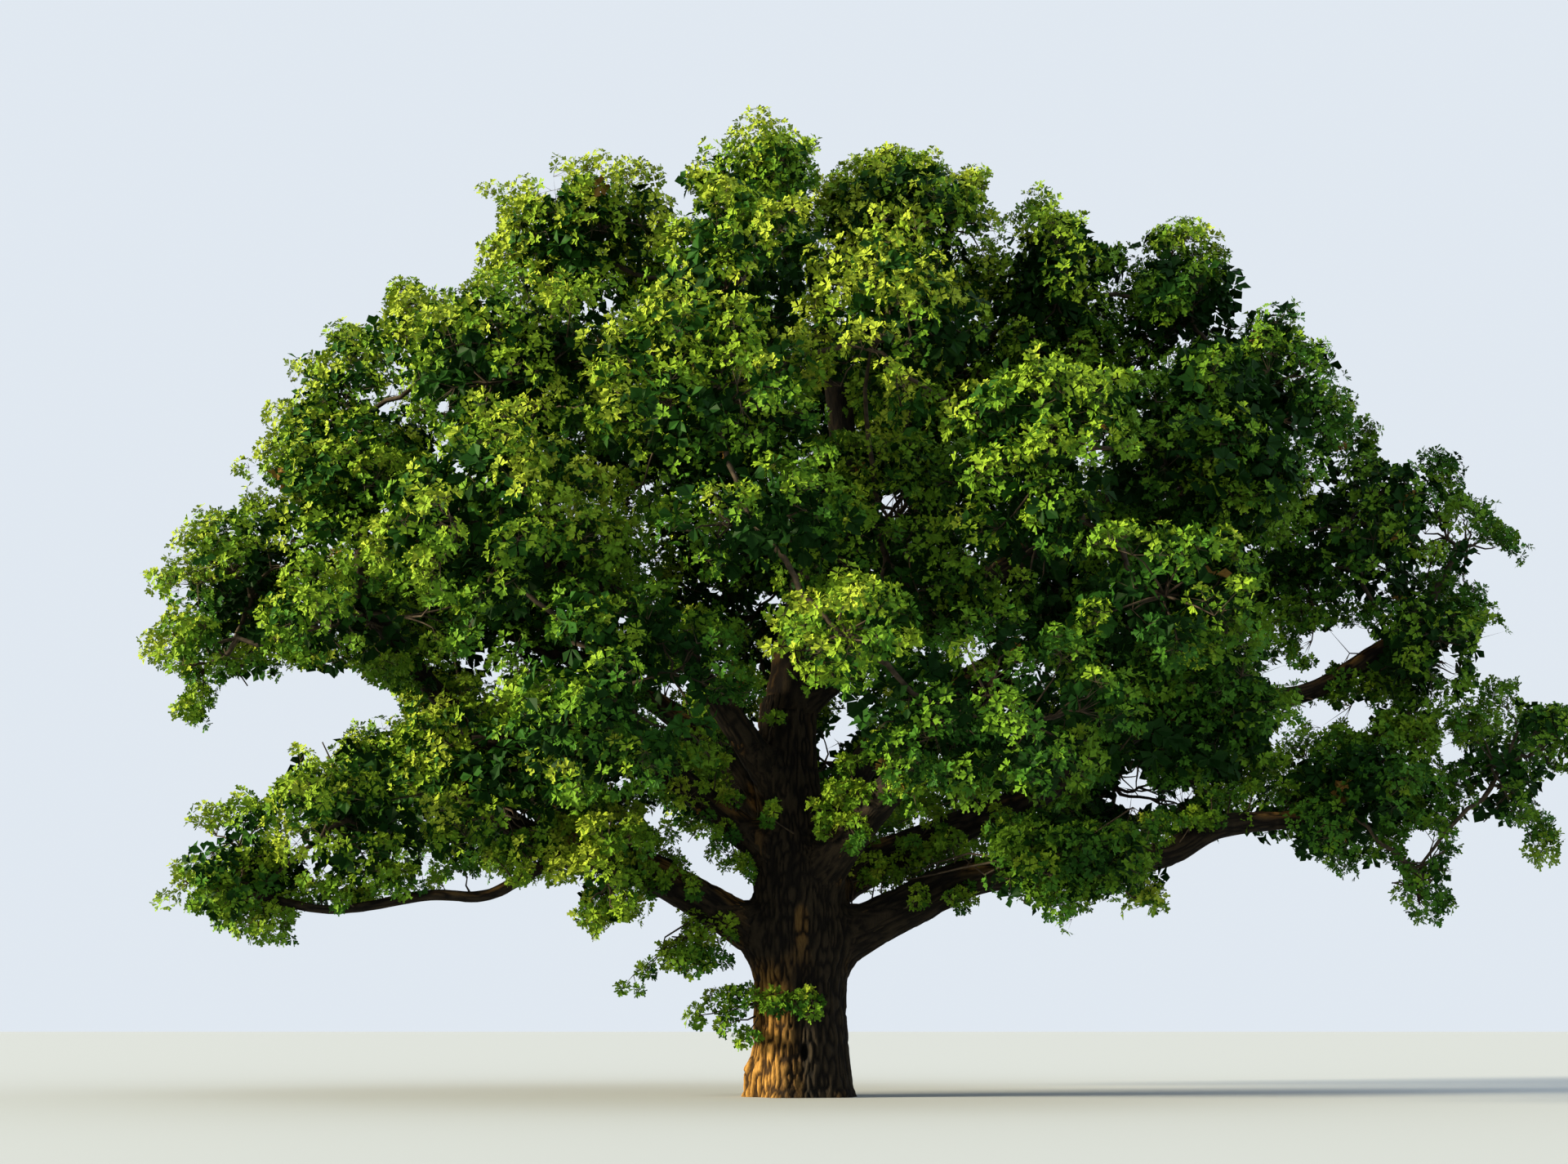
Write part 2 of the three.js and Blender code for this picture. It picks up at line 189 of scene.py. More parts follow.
# A leaf's outline as shares of its length: across, along, and up; then its triangles. The outer ones have
# a middle lobe and one on each side.
LEAVES = {
    "outer": (np.array([(0, 0, 0), (0.43, 0.56, 0.13), (0.12, 0.72, 0.0), (0.17, 1, -0.1), (-0.17, 1, -0.1),
                        (-0.12, 0.72, 0.0), (-0.43, 0.56, 0.13)]),
              np.array([(0, 1, 2), (0, 3, 4), (0, 5, 6)])),
    "inner": (np.array([(0, 0, 0), (0.36, 0.6, 0.1), (0, 1, -0.06), (-0.36, 0.6, 0.1)]),
              np.array([(0, 1, 2), (0, 2, 3)])),
}

# Openings where the photograph shows sky through the tree: column, row, half-width and half-height
WINDOWS = [
    (893, 1090, 24, 24), (1637, 789, 47, 20), (1741, 1037, 22, 20), (1904, 973, 24, 25), (1012, 921, 14, 24),
    (1034, 892, 16, 20), (1388, 977, 35, 15), (1388, 950, 17, 17), (1619, 876, 18, 16), (1663, 876, 15, 20),
    (1565, 828, 23, 10), (1606, 825, 20, 8), (1094, 620, 22, 16), (1773, 810, 12, 22), (1751, 653, 23, 10),
    (763, 761, 18, 9), (566, 1084, 17, 14), (641, 1003, 19, 10), (754, 955, 21, 7), (910, 948, 11, 11),
    (944, 738, 18, 8), (1824, 968, 16, 7), (1447, 978, 13, 9), (803, 1002, 18, 6), (224, 722, 9, 10),
    (926, 891, 9, 7), (964, 811, 7, 11), (1065, 1100, 30, 7), (840, 1034, 18, 5), (545, 500, 10, 10),
    (1830, 1050, 38, 20), (1680, 1088, 18, 30), (1835, 702, 28, 18), (1895, 845, 35, 18), (400, 832, 50, 14),
    (1387, 268, 34, 14), (1534, 335, 14, 30), (470, 1145, 40, 14), (1500, 1057, 68, 21), (1585, 1070, 40, 22),
    (760, 1162, 48, 16), (539, 1130, 33, 23), (620, 1113, 24, 21), (385, 891, 30, 23), (345, 935, 16, 16),
    (263, 968, 22, 9), (1828, 1024, 44, 17), (1822, 690, 20, 24), (309, 853, 30, 22), (1792, 1073, 19, 23),
    (1229, 233, 23, 28), (363, 416, 27, 18), (246, 1136, 17, 18), (1826, 788, 14, 22), (1709, 552, 24, 18),
    (454, 1123, 30, 11), (447, 376, 15, 20), (546, 336, 32, 16), (216, 842, 12, 14), (1712, 1127, 17, 14),
    (197, 1069, 14, 20), (1435, 1079, 12, 22), (700, 1096, 12, 18), (327, 461, 12, 20), (677, 229, 11, 18),
    (1394, 1130, 20, 16), (1519, 314, 10, 18), (1525, 360, 12, 18), (1323, 249, 26, 10), (1235, 1119, 42, 15),
    (382, 1138, 26, 14), (1521, 1031, 26, 13), (655, 1097, 17, 16), (238, 1025, 20, 14), (1353, 280, 24, 19),
    (596, 268, 14, 23), (758, 1140, 20, 12), (320, 954, 10, 26), (264, 873, 9, 8), (1849, 622, 14, 12),
    (1127, 1153, 15, 22), (417, 1139, 17, 21), (190, 664, 14, 20), (819, 1135, 20, 16), (456, 849, 24, 12),
    (1570, 1040, 18, 11), (1703, 1074, 11, 13), (1014, 193, 13, 17), (1610, 400, 18, 12), (655, 203, 12, 12),
    (1362, 248, 36, 14), (1822, 808, 14, 20), (1818, 598, 22, 12), (572, 303, 12, 20), (1330, 1127, 18, 9),
    (605, 1148, 30, 22), (1560, 336, 10, 12)
]
WINDOW_MARGIN = 4

# Shoots low on the trunk, from the bark to the middle of their leaves
TRUNK_SHOOTS = [
    (-0.45, -0.68, 1.5, -0.5, -0.98, 1.6), (-0.15, -0.8, 1.55, -0.1, -1.05, 1.6),
    (0.15, -0.8, 1.55, 0.2, -1.05, 1.62), (-0.75, -0.4, 1.6, -1.15, -0.6, 1.75),
    (-0.8, -0.3, 1.6, -1.5, -0.5, 1.65), (-0.8, -0.3, 1.6, -1.85, -0.6, 1.4),
    (-0.8, -0.3, 1.4, -1.3, -0.6, 1.25), (-0.8, -0.3, 1.6, -1.2, -0.5, 1.5),
    (-0.75, -0.4, 1.4, -0.95, -0.65, 1.05), (-0.75, -0.4, 1.5, -0.85, -0.75, 1.72),
    (-1.9, -0.5, 3.1, -2.2, -0.9, 2.5), (-1.9, -0.5, 3.1, -2.7, -0.9, 2.2),
    (-1.9, -0.5, 3.1, -1.7, -0.9, 2.6), (-1.9, -0.5, 3.1, -2.95, -0.9, 2.1), (-1.6, -0.4, 3, -1.4, -0.8, 2.5),
    (-0.1, -0.6, 4.6, -0.5, -1.2, 4.9), (0.5, -0.8, 4.4, 0.35, -1.5, 4.9), (0.7, -1, 4.6, 0.75, -1.7, 5.1),
    (0.8, -1.2, 4.7, 1.1, -2, 5.2), (0.5, -0.8, 4.4, 0.9, -1.6, 4.55), (1.4, -1.8, 5.1, 1.6, -2.6, 5.2),
    (1.6, -2.2, 5.3, 1.9, -3, 5), (-1.4, -0.5, 4.95, -1.6, -1.1, 4.6), (-1.6, -0.6, 5.1, -2, -1.2, 4.4),
    (-2, -0.7, 5.3, -2.4, -1.2, 4.6), (-1.2, -0.5, 4.8, -1.1, -1, 5.4), (-1.3, -0.4, 4.7, -1.45, -0.7, 4.3),
    (-1.3, -0.4, 4.7, -1.15, -0.7, 4.15), (-0.8, -0.3, 4.3, -0.95, -0.75, 3.95),
    (-1.3, -0.4, 4.7, -1.7, -0.8, 4.35), (-0.8, -0.3, 4.3, -0.85, -0.7, 3.75),
    (-0.8, -0.3, 4.3, -1.05, -0.7, 4)
]

# Single clumps that stand out of the masses, or hang under them, in the photograph
SPIRES = [
    (-3.05, -1.9, 16.9), (3.7, -1, 16.9), (-7.6, -0.5, 14.9), (7.2, 0, 16.3), (-10.5, -1.5, 4.8),
    (-9.7, -1.5, 5.2), (-11.2, -0.3, 7), (-10.1, 0, 11.6), (13.1, 0, 10.1), (13.4, -0.2, 4.6), (6, -2.4, 3.2),
    (-2.75, -5, 8.2), (-2.75, -5, 8.9), (-2.8, -5.2, 9.6), (-0.85, -2, 17.6), (1.9, 0, 17.7),
    (0.5, -0.6, 16.4), (10.4, -1, 6.6), (11.2, -1, 6.45), (12.2, -0.5, 6.7), (9.3, 0, 8.6), (10.4, 0, 8.7),
    (-6.6, 0, 15.3), (12.4, 0, 11.6), (2, 2.2, 4.3), (2.9, 2.6, 4.6), (3.8, 2.3, 4.9), (3, 2.4, 3.9),
    (4.4, 2.2, 4.4), (1.4, 2.4, 5), (-2.6, 1.6, 4.2), (-3, 1.4, 4.9), (-3.6, 1.6, 4.4), (1.35, 0.6, 3.8),
    (1.8, 0.7, 3.95), (2.3, 0.6, 4.15), (1.1, 0, 17.6), (1.4, -0.4, 17.1), (3.6, -0.4, 17.1),
    (-9.8, -1.5, 2.95), (-10.3, -1.5, 3.1), (-11.1, -1.5, 3.6), (9.7, -1, 6.2), (10.8, -1, 6.4),
    (11.8, -0.8, 6.6), (-8.8, -0.6, 6.6), (9.5, 0.3, 7.95), (10.3, 0.3, 7.85), (10.1, 0.6, 7.4),
    (10.9, 0.5, 7.45), (10.3, 0.6, 6.75), (9, 0.5, 8.4), (10.6, 0, 12.45), (10.4, 0.3, 12.9), (4.1, -3, 3.2),
    (4.6, -2.6, 3.2), (-5.85, -1, 15.6), (-5.75, -0.8, 16.1), (11.75, 0, 5.15), (11.4, 0.2, 5.1),
    (-10.2, 0, 10.95), (13.4, 0, 4.3), (13.3, 0, 10.3), (0.5, -0.5, 17.1), (1.57, -0.5, 17.7),
    (2.4, -0.5, 17.6), (9.1, 0, 6.4), (-5.7, -1, 16.5), (13.6, 0, 5.2), (0.33, -0.6, 17.7), (8.1, 0, 15.9),
    (-11.7, -0.3, 9.3), (-11.9, -0.3, 8.1), (-11.1, -0.5, 6.9), (13.1, 0, 7.35), (12.46, 0.1, 9.2),
    (12.7, -0.1, 8.75), (12.45, -0.1, 8.6), (12.05, 0, 5.45), (11.85, 0, 4.7), (10.75, 0, 4.35),
    (11.1, -0.3, 3.8), (11.05, 0, 4.2), (-9.15, -1.5, 2.9), (-3.55, -2, 3.1), (11.5, -0.3, 3.95),
    (11.45, 0, 4.4), (4.3, -0.5, 16.75)
]
SPIRE_RADIUS = 0.45

# Larger clumps that close the crown where the masses leave a gap and the photograph shows none
FILLERS = [
    (5.2, 0.4, 14.2), (5.8, 0.6, 14.5), (6.4, 0.4, 14.3), (5.6, -0.4, 13.7), (4.9, -0.2, 14),
    (-3.3, -0.6, 15.4), (-3, -0.4, 14.8), (-3.3, -1.7, 3.8), (-4.6, -2, 4.2), (6.7, 0.3, 15.2),
    (7.2, 0.2, 15.2), (7.3, 0.3, 14.6), (3.6, 0.3, 15.6), (3.9, 0.3, 15), (-3.2, -0.3, 16.1), (0.75, 0.2, 16),
    (1.9, 0.3, 12.6), (1.4, -0.8, 12.8), (2.1, -0.4, 13.4), (1.2, 0.9, 12), (0.6, 1.3, 10.9), (1.8, 1.8, 11),
    (1.2, 1.6, 9.9), (1.9, 2.2, 9.7), (2.3, 0.9, 11.6), (0.35, 1.75, 9), (-0.3, 2.2, 12.5), (-0.9, 2.6, 11.5)
]
FILLER_RADIUS = 0.7
SINGLE_DEPTH = -0.26  # how far a single clump's middle is from its given place
SINGLE_SPACING, SINGLE_LIFT, SINGLE_SHARE = 0.05, 0.4, 0.9

# The same between the masses on the far side, which the photograph doesn't show
FAR_SIDE = 1.5
SEAM_TRIES = 16_000
SEAM_GAP = 0.85
SEAM_SPACING = 0.95
SEAM_CORE = 0.6  # as a share of the way out of the crown

# How many of the clumps are kept on the masses that are no more than a few sprays
SPARSE = {"foliage_sprig": 0.45, "foliage_under_left": 0.8}

# Painted light and shade on whole masses that stand out in the photograph: lighter where lit, deeper where in
# shade, and by how many tints
MASS_LIGHT_AND_SHADE = {
    "front_spire": 1.1, "front_hanging": 0.5, "crest_right": 1.1, "crest": 1, "crest_left": 0.9,
    "crest_hollow": 0.8, "upper_middle": 0.7, "front_left_high": 0.3, "front_right_high": -0.1,
    "shoulder_right": 0.3, "shoulder_right_outer": 0.4, "centre": -0.9, "front_middle": -0.5,
    "front_low_right": -0.7, "front_low_left": -0.7, "under_right": -0.4, "front_outer_right": -0.3,
    "front_right": -0.1
}
BASE_TONE = 3.1
# Painted shade: the fill deep inside the crown takes the deepest tints; then the shoots' tone
FILL_TONE, SHOOT_TONE = -0.2, 2.9
INNER_SHADE = 2.4  # how much deeper the leaves inside a clump are
TONE_DRIFT = 1.3  # from one part of the crown to another
CLUMP_SPREAD, SPRAY_SPREAD, TUFT_SPREAD = 0.35, 0.38, 0.22  # of the tone, from one to the next
SHOOT_SPREAD = 0.4
OUTER_TONE, FACING_TONE, LIFT_TONE, TUFT_TONE = 0.35, 0.3, 0.6, 0.6  # painted light and shade: lighter as each of them grows
RIGHTWARD_TONE = 0.02  # painted shade: deeper for each metre to the right
SHADY_SIDE = 0.06  # how much more that is on the right of the trunk
SUNWARD_TONE = 0.8
SUNLESS_FROM, SUNLESS_TO = 0, 9  # the stretch to the right over which that ends
SUNWARD = np.array((-0.62, -0.3, 0.72))
SHADE_TINT = 1  # the lightest tint of the leaves inside the crown
RUST = 6  # place of the last tint, for the few brown sprays
RUST_SHARE = 0.0015

# Leaf colours, dealt out by spray, from deep shade green to yellow-green: one leaf green in steps that carry
# painted shade and painted sunlight besides its own spread, and a rusty brown
TINTS = [
    ("leaf_deep", (0.006, 0.026, 0.004)),
    ("leaf_dark", (0.015, 0.058, 0.007)),
    ("leaf_green", (0.038, 0.115, 0.011)),
    ("leaf_fresh", (0.088, 0.185, 0.013)),
    ("leaf_light", (0.155, 0.255, 0.017)),
    ("leaf_pale", (0.235, 0.31, 0.026)),
    ("leaf_rust", (0.16, 0.09, 0.02)),
]


def normalised(vectors):
    return vectors / np.maximum(np.linalg.norm(vectors, axis=-1, keepdims=True), 1e-9)


def turned(first, second, angle):
    """Directions at angles from a first direction to a second one that is square to it."""
    return first * np.cos(angle)[..., None] + second * np.sin(angle)[..., None]


def smoothstep(low, high, value):
    share = np.clip((value - low) / (high - low), 0, 1)
    return share * share * (3 - 2 * share)


def noise(points, seed=0):
    """Smooth noise from 0 to 1 at points of shape (..., 3), one value for each unit cell's corner."""
    cell = np.floor(points).astype(np.int64)
    share = points - cell
    share = share * share * (3 - 2 * share)
    total = np.zeros(points.shape[:-1])
    for corner in product((0, 1), repeat=3):
        at = cell + corner
        mixed = (at[..., 0] * 374761393 + at[..., 1] * 668265263 + at[..., 2] * 1440662683
                 + seed * 974634777) & 0xFFFFFFFF
        mixed = ((mixed ^ (mixed >> 13)) * 1274126177) & 0xFFFFFFFF
        value = ((mixed ^ (mixed >> 16)) & 0xFFFF) / 65535
        weight = np.prod(np.where(np.array(corner) == 1, share, 1 - share), axis=-1)
        total += value * weight
    return total


def bark_relief(points):
    """Height of the bark from 0, in a fissure, to 1, on a ridge. Points run across, across, along."""
    bend = np.stack([noise(points * BEND_SCALE, 11), noise(points * BEND_SCALE, 12)], -1) - 0.5
    drawn = points.copy()
    drawn[..., :2] += bend * BEND
    ridges = noise(drawn / (RIDGE_WIDTH, RIDGE_WIDTH, RIDGE_LENGTH), 13)
    finer = noise(drawn / (RIDGE_WIDTH * 0.5, RIDGE_WIDTH * 0.5, RIDGE_LENGTH * 0.4), 14)
    fissure = np.abs(ridges - 0.5) * 2
    return np.clip(fissure / 0.5, 0, 1) ** 0.85 * (0.75 + 0.25 * finer)


def smooth_route(points, step):
    """Points at even steps along the centripetal curve through the given ones, as on the model."""
    given = np.array(points, float)
    ends = np.vstack([2 * given[0] - given[1], given, 2 * given[-1] - given[-2]])
    fine = []
    t = np.linspace(0, 1, 40, endpoint=False)[:, None]
    for a, b, c, d in zip(ends[:-3], ends[1:-2], ends[2:-1], ends[3:]):
        ab, bc, cd = (math.sqrt(np.linalg.norm(q - r)) for q, r in ((b, a), (c, b), (d, c)))
        out = ((b - a) / ab - (c - a) / (ab + bc) + (c - b) / bc) * bc
        into = ((c - b) / bc - (d - b) / (bc + cd) + (d - c) / cd) * bc
        fine.append(b * (2 * t**3 - 3 * t**2 + 1) + c * (3 * t**2 - 2 * t**3)
                    + out * (t**3 - 2 * t**2 + t) + into * (t**3 - t**2))
    fine = np.vstack(fine + [given[-1:]])
    reach = np.r_[0, np.cumsum(np.linalg.norm(np.diff(fine, axis=0), axis=1))]
    along = np.linspace(0, reach[-1], max(4, round(reach[-1] / step)) + 1)
    return np.column_stack([np.interp(along, reach, fine[:, i]) for i in range(3)]), along


def route_frames(route):
    """Direction, side and other side at each point of a route, without twist."""
    direction = normalised(np.gradient(route, axis=0))
    side = np.zeros_like(direction)
    side[0] = normalised(np.cross(direction[0], (0.3, 1.0, 0.2)))
    for k in range(1, len(route)):
        side[k] = normalised(side[k - 1] - direction[k] * side[k - 1].dot(direction[k]))
    return direction, side, np.cross(direction, side)


def mesh_object(name, vertices, faces, materials, face_material=None, smooth=False, values=None):
    """An object from arrays: vertices (n, 3), faces (m, corners), and values per vertex by name."""
    mesh = bpy.data.meshes.new(name)
    corners = faces.shape[1]
    mesh.vertices.add(len(vertices))
    mesh.vertices.foreach_set("co", np.ascontiguousarray(vertices, np.float32).ravel())
    mesh.loops.add(faces.size)
    mesh.loops.foreach_set("vertex_index", np.ascontiguousarray(faces, np.int32).ravel())
    mesh.polygons.add(len(faces))
    mesh.polygons.foreach_set("loop_start", np.arange(0, faces.size, corners, dtype=np.int32))
    mesh.polygons.foreach_set("use_smooth", np.full(len(faces), smooth))
    if face_material is not None:
        mesh.polygons.foreach_set("material_index", np.ascontiguousarray(face_material, np.int32))
    mesh.update(calc_edges=True)
    for key, value in (values or {}).items():
        kind = "FLOAT_VECTOR" if value.ndim == 2 else "FLOAT"
        field = "vector" if value.ndim == 2 else "value"
        layer = mesh.attributes.new(key, kind, "POINT")
        layer.data.foreach_set(field, np.ascontiguousarray(value, np.float32).ravel())
    for material in materials:
        mesh.materials.append(material)
    piece = bpy.data.objects.new(name, mesh)
    bpy.context.scene.collection.objects.link(piece)
    return piece


def ring_quads(shape):
    """Quads of skins of rings, closed round each ring, for corners of shape (..., rings, columns)."""
    index = np.arange(math.prod(shape)).reshape(shape)
    low, high = index[..., :-1, :], index[..., 1:, :]
    return np.stack([low, np.roll(low, -1, -1), np.roll(high, -1, -1), high], -1).reshape(-1, 4)


def round_turns(count):
    """Angles evenly round a ring."""
    return 2 * math.pi * np.arange(count) / count


# Materials

def set_inputs(tree, node, inputs):
    """Sets a node's inputs, each to a value or to another node's output, and gives the node back."""
    for key, value in inputs.items():
        if isinstance(value, bpy.types.NodeSocket):
            tree.links.new(value, node.inputs[key])
        else:
            node.inputs[key].default_value = value
    return node


def new_material(name, base=(0.5, 0.5, 0.5), roughness=0.6, specular=0.5):
    material = bpy.data.materials.new(name)
    material.use_nodes = True
    set_inputs(material.node_tree, material.node_tree.nodes["Principled BSDF"],
               {"Base Color": (*base, 1), "Roughness": roughness, "Specular IOR Level": specular})
    return material


def multiply_add(tree, value, factor, offset):
    """Value times factor plus offset."""
    node = tree.nodes.new("ShaderNodeMath")
    node.operation = "MULTIPLY_ADD"
    return set_inputs(tree, node, {0: value, 1: factor, 2: offset}).outputs[0]


def ramp(tree, factor, stops):
    node = set_inputs(tree, tree.nodes.new("ShaderNodeValToRGB"), {"Fac": factor})
    elements = node.color_ramp.elements
    while len(elements) < len(stops):
        elements.new(0.5)
    for element, (place, colour) in zip(elements, stops):
        element.position = place
        element.color = (*colour, 1)
    return node.outputs["Color"]


def noise_texture(tree, vector, scale, detail):
    node = tree.nodes.new("ShaderNodeTexNoise")
    return set_inputs(tree, node, {"Vector": vector, "Scale": scale, "Detail": detail}).outputs["Fac"]


def bark_material():
    """Dark grey-brown ridges over fissures darkened as painted shade, with ochre where the mesh says so:
    patches of growth, and painted sunlight on the trunk's lit side.
    """
    material = new_material("bark", roughness=0.9, specular=0.15)
    tree = material.node_tree
    place, height, growth = (tree.nodes.new("ShaderNodeAttribute") for _ in range(3))
    place.attribute_name, height.attribute_name, growth.attribute_name = "bark_at", "relief", "growth"
    stretch = set_inputs(tree, tree.nodes.new("ShaderNodeMapping"),
                         {"Vector": place.outputs["Vector"], "Scale": (1, 1, 0.28)})
    grain = noise_texture(tree, stretch.outputs["Vector"], 42, 6)
    # Painted shade: the lower the bark's relief, the darker its colour, darkest in the fissures
    lifted = multiply_add(tree, height.outputs["Fac"], 0.7, -0.15)
    mixed = multiply_add(tree, grain, 0.5, lifted)
    tinted = tree.nodes.new("ShaderNodeMix")
    tinted.data_type = "RGBA"
    set_inputs(tree, tinted, {"Factor": growth.outputs["Fac"], "A": ramp(tree, mixed, WOOD),
                              "B": ramp(tree, mixed, SUNLIT_AND_GROWN)})
    bump = set_inputs(tree, tree.nodes.new("ShaderNodeBump"),
                      {"Strength": 0.7, "Distance": 0.02, "Height": grain})
    set_inputs(tree, tree.nodes["Principled BSDF"],
               {"Base Color": tinted.outputs["Result"], "Normal": bump.outputs["Normal"]})
    return material


def branch_material():
    """Smoother brown bark of the branches and twigs."""
    material = new_material("branch_bark", roughness=0.85, specular=0.25)
    tree = material.node_tree
    place = tree.nodes.new("ShaderNodeTexCoord")
    colour = ramp(tree, noise_texture(tree, place.outputs["Object"], 9, 4), TWIG_BARK)
    set_inputs(tree, tree.nodes["Principled BSDF"], {"Base Color": colour})
    return material


bark = bark_material()
branch_bark = branch_material()
leaf_materials = [new_material(name, base, 0.55, 0.04) for name, base in TINTS]


# Trunk and boughs

def bough_radius(first, last, along):
    share = along / along[-1]
    collar = 1 + COLLAR * np.exp(-along / COLLAR_LENGTH)
    return (first + (last - first) * share**0.8) * collar


limbs = {}
for limb_name, (first_radius, last_radius, points) in BOUGHS.items():
    limb_route, limb_along = smooth_route(points, BOUGH_ROW)
    limbs[limb_name] = (limb_route, limb_along, bough_radius(first_radius, last_radius, limb_along))

axis_route, axis_along = smooth_route(AXIS, TRUNK_ROW)
axis_height = axis_route[:, 2]
leader_radius = LEADER_TIP + LEADER_SPREAD * (1 - smoothstep(*LEADER_TAPER, axis_height)) ** 1.2
trunk_taper = TRUNK_RADIUS + (FORK_RADIUS - TRUNK_RADIUS) * np.clip(axis_height / FORK_HEIGHT, 0, 1) ** 3
axis_radius = trunk_taper + (leader_radius - trunk_taper) * smoothstep(*FORK_BLEND, axis_height)


def spot(bearing, height, place):
    """1 in the middle of a round feature on the trunk, and 0 away from it."""
    across = (np.angle(np.exp(1j * (bearing - place["bearing"])))) * TRUNK_RADIUS / place["size"][0]
    up = (height - place["height"]) / place["size"][1]
    return np.exp(-(across**2 + up**2))


def trunk_profile(bearing, height, radius):
    """The trunk's radius without its boughs: root flare, flutes, groove, burr and swelling."""
    foot = np.exp(-height / FLARE_HEIGHT)
    lobes = 1 + 0.5 * np.cos(5 * bearing + 2.6) + 0.25 * np.cos(9 * bearing + 0.7)
    turn = np.degrees(np.angle(np.exp(1j * (bearing - GROOVE_BEARING + 0.05 * np.sin(height * 2.1)))))
    groove = GROOVE_DEPTH * np.exp(-((turn / GROOVE_WIDTH) ** 2)) * smoothstep(FORK_HEIGHT, 2.6, height)
    swell = SWELL * np.exp(-(((height - SWELL_HEIGHT) / SWELL_REACH) ** 2))
    across, back, up = np.broadcast_arrays(np.cos(bearing) * TRUNK_RADIUS, np.sin(bearing) * TRUNK_RADIUS,
                                           height * 0.25)
    round_points = np.stack([across, back, up], -1)
    flutes = (noise(round_points / FLUTE_WIDTH, 21) - 0.5) * 2 * FLUTE_HEIGHT
    return (radius * (1 + FLARE * lobes * foot + swell - groove) + flutes
            + BURR["depth"] * spot(bearing, height, BURR))


def distance_to_limb(points, route, radius):
    """Signed distance from points to a tapering limb, by its straight stretches."""
    nearest = np.full(points.shape[:-1], 9.0)
    for a, b, ra, rb in zip(route[:-1], route[1:], radius[:-1], radius[1:]):
        span = b - a
        share = np.clip(((points - a) @ span) / span.dot(span), 0, 1)
        gap = np.linalg.norm(points - a - share[..., None] * span, axis=-1) - (ra + (rb - ra) * share)
        nearest = np.minimum(nearest, gap)
    return nearest


def bark_object(name, node, vertices, bark_at, relief, growth):
    """A skin of rings with the values that its bark is drawn from, in place of a node."""
    values = {"bark_at": bark_at.reshape(-1, 3), "relief": relief.ravel(), "growth": growth.ravel()}
    piece = mesh_object(name, vertices.reshape(-1, 3), ring_quads(relief.shape), [bark],
                        smooth=True, values=values)
    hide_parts(node)
    return piece


def trunk_object():
    """The trunk and the foot of the leader in one skin, drawn out softly where each bough leaves."""
    rows = axis_route[:, 2] <= TRUNK_TOP
    centre, radius = axis_route[rows], axis_radius[rows]
    bearing = np.linspace(0, 2 * math.pi, TRUNK_COLUMNS, endpoint=False)[None, :]
    height = centre[:, 2][:, None]
    plain = trunk_profile(bearing, height, radius[:, None])
    outward = np.stack([np.cos(bearing), np.sin(bearing), np.zeros_like(bearing)], -1)
    reached = plain.copy()
    found = np.zeros(plain.shape, bool)
    steps = np.linspace(0, FILLET_REACH, 21)
    near = [limb for limb in limbs.values()
            if np.linalg.norm(limb[0][0, :2]) < FILLET_NEAR and limb[0][0, 2] < FILLET_BELOW]
    before = None
    for step in steps:
        points = centre[:, None, :] + (plain + step)[..., None] * outward
        level = np.full(plain.shape, step)
        for route, along, limb_radius in near:
            part = slice(0, int(np.searchsorted(along, FILLET_STRETCH)), 3)
            gap = distance_to_limb(points, route[part], limb_radius[part] * 0.96)
            mixed = np.clip(0.5 + 0.5 * (gap - level) / FILLET, 0, 1)
            level = gap + (level - gap) * mixed - FILLET * mixed * (1 - mixed)
        outside = (level > 0) & ~found
        if before is not None:
            share = np.clip(before / np.minimum(before - level, -1e-6), 0, 1)
            reached = np.where(outside, plain + step - (1 - share) * (steps[1] - steps[0]), reached)
        else:
            reached = np.where(outside, plain, reached)
        found |= outside
        before = level
    reached = np.where(found, reached, plain + FILLET_REACH)
    bare = centre[:, None, :] + reached[..., None] * outward
    relief = bark_relief(bare)
    hole = spot(bearing, height, KNOT)
    lip = np.exp(-((np.sqrt(-np.log(np.maximum(hole, 1e-9))) - 1.35) / 0.3) ** 2)
    lift = RIDGE_HEIGHT * (relief - BARK_MEAN) * (1 - 0.8 * hole) - KNOT["depth"] * smoothstep(0.3, 0.8, hole)
    lift = lift + KNOT_LIP * lip
    vertices = bare + lift[..., None] * outward
    vertices[0, :, 2] = 0
    # Painted shade: the knot hole takes the colour of the deepest fissure
    relief = relief * (1 - smoothstep(0.3, 0.8, hole))
    # Ochre on the trunk: painted sunlight on its lit left side up to the crown's shadow, with a ragged edge,
    # and faint patches of growth all round
    patch = noise(bare * OCHRE_PATCHES, 71)
    growth = (smoothstep(*PAINTED_SUN_SIDE, bare[..., 0] + 0.5 * (patch - 0.5))
              * smoothstep(*PAINTED_SUN_HEIGHT, bare[..., 2]))
    growth = np.maximum(growth, 0.25 * smoothstep(0.62, 0.85, patch))
    return bark_object("trunk_bark", "trunk", vertices, bare, relief, growth)


def limb_object(node, route, along, radius, columns):
    """A bough with bark relief, its ridges running along it."""
    direction, side, other = route_frames(route)
    turn = np.linspace(0, 2 * math.pi, columns, endpoint=False)
    ring = turned(side[:, None], other[:, None], turn)
    flat = np.stack([np.cos(turn)[None] * radius[:, None], np.sin(turn)[None] * radius[:, None],
                     np.broadcast_to(along[:, None], (len(along), columns))], -1)
    flat = flat + route[0] * 1.7
    relief = bark_relief(flat)
    lumps = (noise(flat * LUMP_SCALE, 31) - 0.5) * LUMP
    height = RIDGE_HEIGHT * np.clip(radius / 0.6, 0.12, 1)[:, None] * (relief - BARK_MEAN)
    reach = radius[:, None] * (1 + lumps) + height
    vertices = route[:, None] + reach[..., None] * ring
    # Ochre patches, on the upper side of the bough
    patch = noise(flat * OCHRE_PATCHES, 71)
    growth = 0.6 * smoothstep(0.5, 0.8, patch) * smoothstep(-0.2, 0.7, ring[..., 2])
    return bark_object(node + "_bark", node, vertices, flat, relief, growth)


